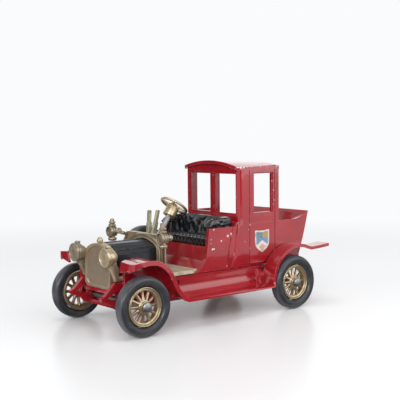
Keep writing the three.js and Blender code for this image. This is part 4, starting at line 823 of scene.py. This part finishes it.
class TOWN_CAR_OT_trim(bpy.types.Operator):
    """Plate the radiator, dash panel, floor tray and levers"""

    bl_idname = "town_car.trim"
    bl_label = "Plate Trim"

    def execute(self, context):
        coats = {"radiator": "aged_gold", "dash_panel": "dull_gold", "floor_tray": "tray_gold",
                 "brake_lever": "lever_gold", "gear_lever": "lever_gold"}
        reshapes = {"radiator": self.square_foot, "dash_panel": self.slim_dash}
        # The radiator's core takes the darker core plating; the dash's sunk panels take it as painted shade.
        recesses = {"radiator": (38.9, 39.3), "dash_panel": (20.9, 21.3)}
        for node, coat in coats.items():
            trim = refined_piece(node, node + "_plated", sizes().trim_round, coat, "gold_trim", reshapes.get(node))
            if node in recesses:
                low, high = recesses[node]
                trim.data.materials.append(finish("core_brown"))
                for face in trim.data.polygons:
                    face.material_index = int(face.normal.x > 0.9 and low < face.center.x / MM < high)
        for name, offset in (("inner", 0.45), ("outer", 1.6)):
            made(f"dash_bead_{name}", lambda shape: self.bead(shape, offset), "dull_gold", "car", "gold_trim")
        return {"FINISHED"}

    @staticmethod
    def bead(shape, offset):
        """A thin bead on the dash that follows the bonnet's outline at a distance."""
        face, half, shoulder, rise, radius = 21.98, 7.0, 24.3, 2.2, 0.24
        path = [Vector((half + offset, z)) for z in (17.2, 20.5, shoulder - 0.6)]
        for i in range(11):
            y = half * (1 - i / 10)
            out = Vector((2 * rise * y / half ** 2, 1.0)).normalized()
            path.append(Vector((y, shoulder + rise * (1 - (y / half) ** 2))) + out * offset)
        path += [Vector((-point.x, point.y)) for point in reversed(path[:-1])]
        rows = []
        for i, point in enumerate(path):
            ahead = (path[min(i + 1, len(path) - 1)] - path[max(i - 1, 0)]).normalized()
            across = Vector((-ahead.y, ahead.x)) * radius
            rows.append([Vector((face + radius * math.sin(a), *(point + across * math.cos(a)))) * MM
                         for a in full_turn(12)])
        lofted(shape, rows)

    @staticmethod
    def square_foot(shape):
        """Leaves only small cut corners at the foot of the radiator's frame, outside and inside."""
        border, shift, near = 0.9, 0.9, 0.05
        for vert in shape.verts:
            y, z = abs(vert.co.y) / MM, vert.co.z / MM
            for inset in (0.0, border):
                if abs(z - 12.8 - inset) < near and abs(y - 5.1 + inset) < near:
                    vert.co.y += math.copysign(shift * MM, vert.co.y)
                if abs(z - 14.9 - inset) < near and abs(y - 7.2 + inset) < near:
                    vert.co.z -= shift * MM

    @staticmethod
    def slim_dash(shape):
        """Thins the dash towards its side edges and widens the sunk panels beside its arch."""
        thin_from, taper, back, arch_foot = 9.0, 0.6, 20.2, 26.0
        for side in (1, -1):
            cut(shape, lambda place: place.x < back, (0, side * thin_from, 0), (0, 1, 0))
        for vert in shape.verts:
            y, z = abs(vert.co.y) / MM, vert.co.z / MM
            if vert.co.x < (back + 0.3) * MM and y > thin_from:
                vert.co.x += taper * (y - thin_from) * MM
            if z < arch_foot:
                shift = 0.35 if abs(y - 10.3) < 0.05 else -0.5 if abs(y - 9.6) < 0.12 else 0.0
                vert.co.y += math.copysign(shift * MM, vert.co.y)


class TOWN_CAR_OT_bonnet(bpy.types.Operator):
    """Mould the bonnet"""

    bl_idname = "town_car.bonnet"
    bl_label = "Mould Bonnet"

    def execute(self, context):
        refined_piece("bonnet", "bonnet_moulded", sizes().trim_round, "bonnet_black", "bonnet_black")
        low, high = box_of("bonnet")
        margin, sunk, height = 0.3, 0.02, 23.35
        reach = high.x - low.x - 2 * margin
        bead = [(0.02, 0.0), (0.13, 0.0), (0.16, 0.1), (0.16, reach - 0.1), (0.13, reach), (0.02, reach)]
        for side, sign in SIDES:
            frame = along((1, 0, 0), Vector((low.x + margin, sign * (high.y - sunk), height)) * MM)
            made(f"bonnet_hinge_{side}", lambda shape: turned(shape, bead, frame, 16),
                 "bonnet_black", "car", "bonnet_black")
        return {"FINISHED"}


class TOWN_CAR_OT_lamps(bpy.types.Operator):
    """Turn the headlamps and side lamps"""

    bl_idname = "town_car.lamps"
    bl_label = "Turn Lamps"

    def execute(self, context):
        for side, sign in SIDES:
            for kind, build in (("headlamp", self.headlamp), ("side_lamp", self.side_lamp)):
                node = f"{kind}_{side}"
                coat = "aged_gold" if node == "headlamp_left" else "brown_gold"
                made(node + "_turned", lambda shape: build(shape, sign), coat, "car", "gold_trim", node)
        return {"FINISHED"}

    @staticmethod
    def headlamp(shape, sign):
        """A drum with a bezel and ringed glass, a vent on top and a bracket down to the frame."""
        across = sign * 8.8
        centre = Vector((42.7, across, 23.2)) * MM
        drum = [(0.02, -4.5), (0.9, -4.5), (1.1, -4.3), (1.85, -3.7), (2.3, -2.8), (2.48, -2.0), (2.5, -1.5),
                (2.68, -1.42), (2.68, -1.2), (2.52, -1.12), (2.52, -0.72), (2.95, -0.6), (2.95, -0.16), (2.8, 0.0),
                (2.52, 0.0), (2.42, -0.2), (2.2, -0.26), (2.1, -0.16), (1.9, -0.16), (1.8, -0.26), (1.58, -0.24),
                (1.48, -0.14), (1.28, -0.13), (1.18, -0.2), (0.9, -0.14), (0.5, -0.07), (0.02, -0.05)]
        turned(shape, rounded(drum, 0.08), along((1, 0, 0), centre), 72)
        vent = [(0.02, 1.9), (1.05, 1.9), (1.05, 2.55), (0.72, 2.68), (0.72, 2.92), (0.95, 3.0), (0.95, 3.32),
                (0.7, 3.5), (0.02, 3.51)]
        turned(shape, rounded(vent, 0.1), Matrix.Translation(centre + Vector((-1.62, 0, 0)) * MM), 40)
        plate = [(41.7, 21.3), (40.0, 21.3), (38.4, 18.6), (37.4, 16.7), (37.4, 15.6), (39.0, 15.6), (39.5, 16.9),
                 (40.5, 19.0)]
        for half, inset in ((0.6, 0.0), (0.78, 0.42)):
            slab(shape, plate, across, half, inset)
        web = [(42.2, 20.9), (38.6, 21.6), (37.5, 19.4), (37.5, 16.0), (38.9, 16.0), (40.2, 18.4)]
        slab(shape, web, across, 0.35, 0.0)

    @staticmethod
    def side_lamp(shape, sign):
        """A small drum lamp with a stepped chimney, an oil font and an arm to the dash."""
        centre = Vector((26.0, sign * 14.1, 28.0)) * MM
        drum = [(0.02, -5.0), (0.5, -4.95), (0.86, -4.7), (1.0, -4.25), (0.92, -3.8), (0.6, -3.5), (0.6, -3.2),
                (0.95, -3.05), (1.3, -2.85), (1.66, -2.6), (1.7, -2.15), (1.42, -1.95), (1.42, -1.8), (1.74, -1.65),
                (1.74, -1.15), (1.45, -1.0), (1.45, -0.92), (1.85, -0.82), (1.85, -0.12), (1.74, 0.0), (1.5, 0.0),
                (1.4, -0.5), (1.1, -0.52), (1.02, -0.38), (0.8, -0.34), (0.4, -0.26), (0.02, -0.24)]
        turned(shape, rounded(drum, 0.08), along((1, 0, 0), centre), 56)
        middle = Matrix.Translation(centre + Vector((-1.43, 0, 0)) * MM)
        chimney = [(0.02, 1.1), (0.95, 1.1), (0.95, 1.6), (1.22, 1.75), (1.26, 2.3), (0.86, 2.5), (0.8, 2.64),
                   (1.12, 2.78), (1.14, 3.2), (0.8, 3.38), (0.7, 3.5), (0.78, 3.75), (0.7, 4.05), (0.4, 4.26),
                   (0.02, 4.3)]
        turned(shape, rounded(chimney, 0.08), middle, 40)
        font = [(0.02, -3.1), (0.95, -3.1), (1.35, -2.9), (1.45, -2.4), (1.35, -2.02), (0.9, -1.9), (0.85, -1.1),
                (0.02, -1.1)]
        turned(shape, rounded(font, 0.1), middle, 40)
        start = Vector((23.86, sign * 13.36, 28.0)) * MM
        end = Vector((22.66, sign * 9.75, 27.6)) * MM
        reach = (end - start).length / MM
        arm = [(0.02, 0.0), (0.55, 0.0), (0.55, 0.5), (0.62, 0.6), (0.62, 1.0), (0.52, 1.1), (0.5, 1.8),
               (0.56, reach - 0.9), (0.6, reach - 0.8), (0.6, reach), (0.02, reach)]
        turned(shape, rounded(arm, 0.08), along(end - start, start), 32)


class TOWN_CAR_OT_steering(bpy.types.Operator):
    """Turn the steering wheel and its column"""

    bl_idname = "town_car.steering"
    bl_label = "Turn Steering"

    def execute(self, context):
        refined_piece("steering_column", "steering_column_worn", sizes().trim_round, "column_grey", "column_grey")
        frame = along(AXES["steering"], PIVOTS["steering"]) @ Matrix.Rotation(math.pi / 4, 4, "Z")
        radius, grip = 4.65, 0.45
        rim = [(radius + grip * math.cos(a), grip * math.sin(a)) for a in full_turn(16)]
        boss = rounded([(0.02, -2.25), (1.15, -2.25), (1.15, -4.2), (2.2, -4.2), (2.2, -0.9), (1.35, 0.3),
                        (0.6, 0.45), (0.02, 0.45)], 0.16)
        spoke = mesh_from("steering_spoke", lambda shape: spoke_shape(shape, 1.6, 4.5, 0.42, 0.36, -0.25, 0.0))

        def rings(shape):
            turned(shape, rim, Matrix(), 72, ring=True)
            turned(shape, boss, Matrix(), 48)

        spoked_wheel("steering_wheel", "steering", frame, rings, spoke, 4, "gold")
        return {"FINISHED"}


# Bench


class TOWN_CAR_OT_bench(bpy.types.Operator):
    """Mould the pleated front bench with its rolled arms"""

    bl_idname = "town_car.bench"
    bl_label = "Mould Bench"

    def execute(self, context):
        made("front_bench_moulded", self.build, "bench_black", "car", "bench_black", "front_bench")
        return {"FINISHED"}

    @staticmethod
    def curve(start, control, end, steps):
        """Points of a curve in X and Z, without its last one."""
        a, b, c = Vector(start), Vector(control), Vector(end)
        return [a * (1 - t) ** 2 + b * 2 * t * (1 - t) + c * t ** 2 for t in (i / steps for i in range(steps))]

    def profile(self):
        """The bench's side outline in X and Z, with how far its pleats and its tufts show at each point."""
        seat, top = 23.7, 27.0
        line = [(point, 1.2, 0.0) for point in self.curve((4.75, seat), (6.2, top - 0.3), (4.15, top), 22)]
        line += [(point, 1.0, 0.0) for point in self.curve((4.15, top), (1.4, top + 0.4), (-1.0, top - 0.7), 22)]
        back = self.curve((-1.0, top - 0.7), (-2.0, 30.2), (-3.3, 32.6), 40)
        line += [(point, 0.0, min(1.0, (41 - i) / 14)) for i, point in enumerate(back)]
        line += [(point, 0.0, 0.0) for point in self.curve((-3.3, 32.6), (-5.3, 33.0), (-5.4, 30.6), 16)]
        line += [(Vector((-5.4, 30.6)), 0.0, 0.0), (Vector((-5.4, seat)), 0.0, 0.0)]
        return line

    def build(self, shape):
        """The pleated seat and tufted back in one sweep across the car, with an arm and a cheek on each side."""
        line = self.profile()
        half, pleat_columns, tuft_height, tuft_start, end_round = 11.8, 16, 6.6, 0.62, 0.35
        size = sizes()
        pleat_depth, tuft_depth = size.pleat_depth / MM, size.tuft_depth / MM
        columns = size.pleat_count * pleat_columns
        rows = []
        climb = 0.0
        for i, (point, pleated, tufted) in enumerate(line):
            before, after = line[max(0, i - 1)][0], line[min(len(line) - 1, i + 1)][0]
            slope = (after - before).normalized()
            outward = Vector((slope.y, -slope.x))
            climb += (point - before).length / tuft_height if not pleated else 0.0
            row = []
            for j in range(columns + 1):
                t = j / columns
                pleat = abs(math.sin(math.pi * size.pleat_count * t)) ** 0.5
                across, up = size.tuft_count * t, climb - tuft_start
                tuft = abs(math.sin(math.pi * (across + up)) * math.sin(math.pi * (across - up))) ** 0.8
                fold = pleat_depth * pleated * (1 - pleat) + tuft_depth * tufted * (1 - tuft)
                from_end = min(j, columns - j) / pleat_columns
                edge = end_round * max(0.0, 1 - from_end) ** 2 if pleated or tufted else 0.0
                place = point - outward * (fold + edge)
                row.append(Vector((place.x, half * (2 * t - 1), place.y)) * MM)
            rows.append(row)
        verts = grid(shape, rows, close_rows=True)
        shape.faces.new([row[0] for row in verts])
        shape.faces.new([row[-1] for row in verts])
        for _, side in SIDES:
            self.arm(shape, side)
            self.cheek(shape, side)

    @staticmethod
    def arm(shape, side):
        """A rolled arm with gathers and rounded ends."""
        back, reach, low, high, middle_y, wide, square = -4.1, 9.35, 29.7, 32.7, 11.55, 1.75, 0.6

        def closing(gap):
            return min(1.0, math.sqrt(1 - (1 - clamp(gap)) ** 2) + 0.02)

        def section(t):
            top = high - 0.3 * t - 2.4 * max(0.0, (t - 0.55) / 0.45) ** 2.2
            middle, tall = (low + top) / 2, (top - low) / 2
            close = closing(t / 0.08) * closing((1 - t) / 0.06)
            ring = []
            for a in full_turn(40):
                sweep = a * side + 0.5 * math.sin(5 * t)
                ripple = (0.5 + 0.5 * math.sin(5 * sweep)) ** 4 + (0.5 + 0.5 * math.sin(16 * t + 3 * sweep)) ** 6
                size = close * (1 - 0.09 * ripple * math.sqrt(math.sin(math.pi * t)))
                y = middle_y + wide * size * signed_power(math.cos(a), square)
                z = middle + tall * size * signed_power(math.sin(a), square)
                ring.append((back + reach * t, side * y, z))
            return ring

        swept(shape, 72, section)

    @staticmethod
    def cheek(shape, side):
        """The padded inner face under an arm."""
        back, reach, wall, depth = -4.9, 8.5, 11.2, 1.2

        def section(t):
            swell = depth * math.sqrt(max(0.0, 1 - (2 * t - 1) ** 4))
            outline = ((0.0, 24.7), (swell, 25.0), (swell, 30.4), (0.0, 30.7))
            return [(back + reach * t, side * (wall - inward), z) for inward, z in outline]

        swept(shape, 12, section)


# Running gear


class TOWN_CAR_OT_wheels(bpy.types.Operator):
    """Turn the spoked wheels and the axles"""

    bl_idname = "town_car.wheels"
    bl_label = "Turn Wheels"

    def execute(self, context):
        size = sizes()
        outer = size.rim_radius / MM
        inner = outer - size.rim_wall / MM
        hub, bore = size.hub_radius / MM, 1.15
        rim = rounded([(outer - 0.25, -2.4), (outer + 0.5, -2.4), (outer + 0.5, -2.0), (outer, -2.0), (outer, 0.8),
                       (outer - 0.12, 1.12), (outer - 0.3, 1.2), (outer - 0.46, 1.05), (outer - 0.52, 0.72),
                       (outer - 0.7, 0.72), (outer - 0.8, 0.9), (inner + 0.12, 0.8), (inner, 0.5), (inner, -0.9),
                       (outer - 0.55, -1.5), (outer - 0.25, -2.4)], 0.09)
        boss = rounded([(bore, -1.5), (hub, -1.5), (hub, 0.35), (hub * 0.93, 0.7), (hub * 0.8, 0.8), (hub * 0.8, 1.4),
                        (hub * 0.74, 1.5), (bore, 1.5), (bore, -1.5)], 0.12)
        spoke = mesh_from("wheel_spoke", lambda shape: spoke_shape(
            shape, hub - 0.35, inner + 0.25, size.spoke_width / MM / 2, 0.5, 0.0, -0.75))

        def rings(shape):
            turned(shape, rim[:-1], Matrix(), 96, ring=True)
            turned(shape, boss[:-1], Matrix(), 48, ring=True)

        for body in WHEELS:
            frame = along((0, 1 if "left" in body else -1, 0), PIVOTS[body])
            spoked_wheel(body + "_wheel", body, frame, rings, spoke, size.spoke_count, "copper")
        for body in ("front_axle", "rear_axle"):
            low, high = box_of(body)
            reach = (high.y - low.y) / 2
            half = [(0.85, 0.0), (0.85, reach - 0.9), (1.62, reach - 0.9), (1.62, reach - 0.62), (1.42, reach - 0.34),
                    (1.1, reach - 0.12), (0.5, reach - 0.02), (0.02, reach)]
            profile = rounded([(r, -y) for r, y in reversed(half)] + half[1:], 0.14)
            frame = along((0, 1, 0), PIVOTS[body])
            made(body + "_turned", lambda shape: turned(shape, profile, frame, 48),
                 "bright_steel", body, "steel", body)
        return {"FINISHED"}


class TOWN_CAR_OT_tyres(bpy.types.Operator):
    """Mould the four tyres and the spare"""

    bl_idname = "town_car.tyres"
    bl_label = "Mould Tyres"

    def execute(self, context):
        bore, square = sizes().tyre_bore / MM, 0.7
        ridge, groove, ridge_height = bore + 0.62, bore + 1.0, 0.022
        low, high = box_of("front_left_tyre")
        radius, half = (high.z - low.z) / 2, (high.y - low.y) / 2
        middle, deep = (radius + bore) / 2, (radius - bore) / 2
        profile = []
        for a in full_turn(64):
            r = middle + deep * signed_power(math.sin(a), square)
            h = half * signed_power(math.cos(a), square)
            relief = math.exp(-((r - ridge) / 0.14) ** 2) - math.exp(-((r - groove) / 0.12) ** 2)
            on_side = abs(math.cos(a)) > 0.3
            profile.append((r, h * (1 + ridge_height * (relief * on_side - 1))))
        low, high = box_of("spare_tyre")
        seats = [(body, body, PIVOTS[body]) for body in WHEELS] + [("spare", "car", (low + high) / 2 * MM)]
        for name, body, centre in seats:
            node = name + "_tyre"
            frame = along((0, 1, 0), centre)
            made(node + "_moulded", lambda shape: turned(shape, profile, frame, 120, ring=True),
                 "tyre_rubber", body, "tyre_black", node)
        return {"FINISHED"}


# Stage

# Each lamp's name, place, facing, width and height in metres, and watts
LAMPS = (
    ("left_panel", (-0.17, 0.26, 0.25), (0.0, -1.0, -0.12), (0.46, 0.44), 0.98),
    ("overhead", (0.08, 0.0, 0.58), (-0.12, 0.0, -1.0), (0.36, 0.36), 1.1),
    ("key", (0.40, 0.36, 0.27), (-0.70, -0.62, -0.42), (0.2, 0.2), 1.45),
    ("front_panel", (0.52, -0.06, 0.17), (-1.0, 0.1, -0.28), (0.34, 0.22), 0.7),
    ("back_panel", (-0.52, -0.62, 0.30), (0.64, 0.76, -0.28), (0.9, 0.42), 0.25),
)
# Each card's name, place, facing, half width and half height in metres, and turn about its facing in degrees
CARDS = (
    ("front_card", (0.19, -0.23, 0.035), (-0.63, 0.77, 0.05), (0.30, 0.05), 0.0),
    ("floor_card", (0.21, -0.20, 0.001), (0.0, 0.0, 1.0), (0.14, 0.17), 0.0),
    ("left_card", (-0.0134, 0.0411, 0.0015), (0.0, 0.0, 1.0), (0.0143, 0.0995), 41.7),
    ("door_card", (0.025, 0.063, 0.001), (0.0, 0.0, 1.0), (0.15, 0.041), 0.0),
    ("camera_card", (0.17, 0.415, 0.07), (-0.38, -0.92, 0.0), (0.15, 0.07), 0.0),
)
# Place in millimetres, yaw, pitch and roll in degrees, and lens and sensor width in millimetres
CAMERA_PLACE = (171.067, 211.327, 57.393)
CAMERA_ANGLES = (230.717, -4.119, -0.588)
CAMERA_LENS, CAMERA_SENSOR = 72.577, 36.0


class TOWN_CAR_OT_stage(bpy.types.Operator):
    """Lay the pale floor, hang the lights and set the camera"""

    bl_idname = "town_car.stage"
    bl_label = "Lay Stage"

    def execute(self, context):
        scene = context.scene
        scene.view_settings.view_transform = "Standard"
        self.floor(scene)
        self.world(scene)
        for lamp in LAMPS:
            self.lamp(scene, *lamp)
        for card in CARDS:
            self.card(scene, *card)
        self.camera(scene)
        return {"FINISHED"}

    @staticmethod
    def sheet(scene, name, matrix, material):
        """A flat sheet of the stage: a square of two metres, sized and placed by a matrix."""
        shape = bmesh.new()
        bmesh.ops.create_grid(shape, x_segments=1, y_segments=1, size=1.0)
        bmesh.ops.transform(shape, matrix=matrix, verts=shape.verts)
        mesh = bpy.data.meshes.new(name)
        shape.to_mesh(mesh)
        shape.free()
        mesh.materials.append(material)
        obj = bpy.data.objects.new(name, mesh)
        scene.collection.objects.link(obj)
        return obj

    def floor(self, scene):
        """A plain pale floor with a soft sheen round the car, which turns to studio white further off."""
        dark = (0.0, 0.0, 0.0)
        paper = Finish("stage_paper", Roughness=0.9, Specular_IOR_Level=0.0, Emission_Strength=1.0,
                       Coat_Roughness=0.26, Coat_IOR=1.3)
        away = paper.node("ShaderNodeVectorMath", {"operation": "LENGTH"}, {0: paper.place}, "Value").step(0.06, 0.34)
        near = paper.blend(paper.noise(60.0), (0.80, 0.805, 0.815), (0.82, 0.825, 0.83))
        glow = paper.blend(away, (0.02, 0.021, 0.022), STUDIO_WHITE)
        paper.set("Coat Weight", 1 - away)
        paper.set("Base Color", paper.blend(away, near, dark))
        paper.set("Emission Color", paper.blend(paper.seen(), dark, glow))
        self.sheet(scene, "stage_floor", Matrix.Diagonal((4.0, 4.0, 1.0, 1.0)), paper.material)

    @staticmethod
    def world(scene):
        """A dim white world, which the camera and mirrors see as studio white with a grey ceiling."""
        scene.world = bpy.data.worlds.new("studio")
        scene.world.use_nodes = True
        sky = Nodes(scene.world.node_tree)
        facing = sky.node("ShaderNodeTexCoord", output="Generated")
        climb = sky.node("ShaderNodeSeparateXYZ", {}, {0: facing}, "Z").step(0.3, 0.75)
        room = sky.blend(climb, STUDIO_WHITE, STUDIO_CEILING)
        light = sky.node("ShaderNodeBackground", {}, {"Color": (1.0, 1.0, 1.0), "Strength": 0.38})
        view = sky.node("ShaderNodeBackground", {}, {"Color": room, "Strength": 1.0})
        both = sky.node("ShaderNodeMixShader", {}, {0: sky.seen(), 1: light, 2: view})
        sky.feed(sky.tree.nodes["World Output"].inputs["Surface"], both)

    def card(self, scene, name, place, facing, half, turn):
        """A dark card that only mirrors see, from its front, and that deepens what the car mirrors."""
        paper = Finish("stage_card", Roughness=0.9, Specular_IOR_Level=0.1)
        paper.set("Base Color", paper.blend(paper.noise(40.0), (0.03, 0.03, 0.03), (0.05, 0.05, 0.05)))
        paper.set("Alpha", 1 - paper.node("ShaderNodeNewGeometry", output="Backfacing"))
        extent = Matrix.Rotation(math.radians(turn), 4, "Z") @ Matrix.Diagonal((*half, 1.0, 1.0))
        card = self.sheet(scene, name, along(facing, Vector(place)) @ extent, paper.material)
        card.visible_camera = card.visible_diffuse = card.visible_shadow = False

    @staticmethod
    def lamp(scene, name, place, facing, extent, watts):
        """A soft lamp that the camera doesn't see."""
        light = bpy.data.lights.new(name, "AREA")
        light.shape = "RECTANGLE"
        light.size, light.size_y = extent
        light.energy = watts
        obj = bpy.data.objects.new(name, light)
        obj.matrix_world = along(-Vector(facing), Vector(place))
        obj.visible_camera = False
        scene.collection.objects.link(obj)

    @staticmethod
    def camera(scene):
        """A camera at the photograph's viewing angle."""
        yaw, pitch, roll = (math.radians(angle) for angle in CAMERA_ANGLES)
        ahead = Vector((math.cos(yaw) * math.cos(pitch), math.sin(yaw) * math.cos(pitch), math.sin(pitch)))
        right = ahead.cross(Vector((0, 0, 1))).normalized()
        level = Matrix((right, right.cross(ahead), -ahead)).transposed()
        view = level @ Matrix.Rotation(roll, 3, "Z")
        data = bpy.data.cameras.new("camera")
        data.sensor_width = CAMERA_SENSOR
        data.lens = CAMERA_LENS
        data.clip_start = MM
        camera = bpy.data.objects.new("camera", data)
        camera.matrix_world = Matrix.Translation(Vector(CAMERA_PLACE) * MM) @ view.to_4x4()
        scene.collection.objects.link(camera)
        scene.camera = camera


class TOWN_CAR_PT_pieces(bpy.types.Panel):
    """Shows the car's operators, and its sizes and colours."""

    bl_idname = "TOWN_CAR_PT_pieces"
    bl_label = "Town Car"
    bl_space_type = "VIEW_3D"
    bl_region_type = "UI"
    bl_category = "Town Car"

    def draw(self, context):
        for operator in OPERATORS:
            self.layout.operator(operator.bl_idname)
        for group in (context.scene.town_car_sizes, context.scene.town_car_colours):
            for name in group.__annotations__:
                self.layout.prop(group, name)


OPERATORS = (
    TOWN_CAR_OT_stage, TOWN_CAR_OT_castings, TOWN_CAR_OT_badge, TOWN_CAR_OT_underside, TOWN_CAR_OT_trim,
    TOWN_CAR_OT_bonnet, TOWN_CAR_OT_lamps, TOWN_CAR_OT_steering, TOWN_CAR_OT_bench, TOWN_CAR_OT_wheels,
    TOWN_CAR_OT_tyres,
)
CLASSES = (TownCarSizes, TownCarColours, *OPERATORS, TOWN_CAR_PT_pieces)


def register():
    for entry in CLASSES:
        bpy.utils.register_class(entry)
    bpy.types.Scene.town_car_sizes = bpy.props.PointerProperty(type=TownCarSizes)
    bpy.types.Scene.town_car_colours = bpy.props.PointerProperty(type=TownCarColours)


def unregister():
    del bpy.types.Scene.town_car_colours
    del bpy.types.Scene.town_car_sizes
    for entry in reversed(CLASSES):
        bpy.utils.unregister_class(entry)


def main():
    register()
    for operator in OPERATORS:
        group, name = operator.bl_idname.split(".")
        getattr(getattr(bpy.ops, group), name)()


if __name__ == "__main__":
    main()
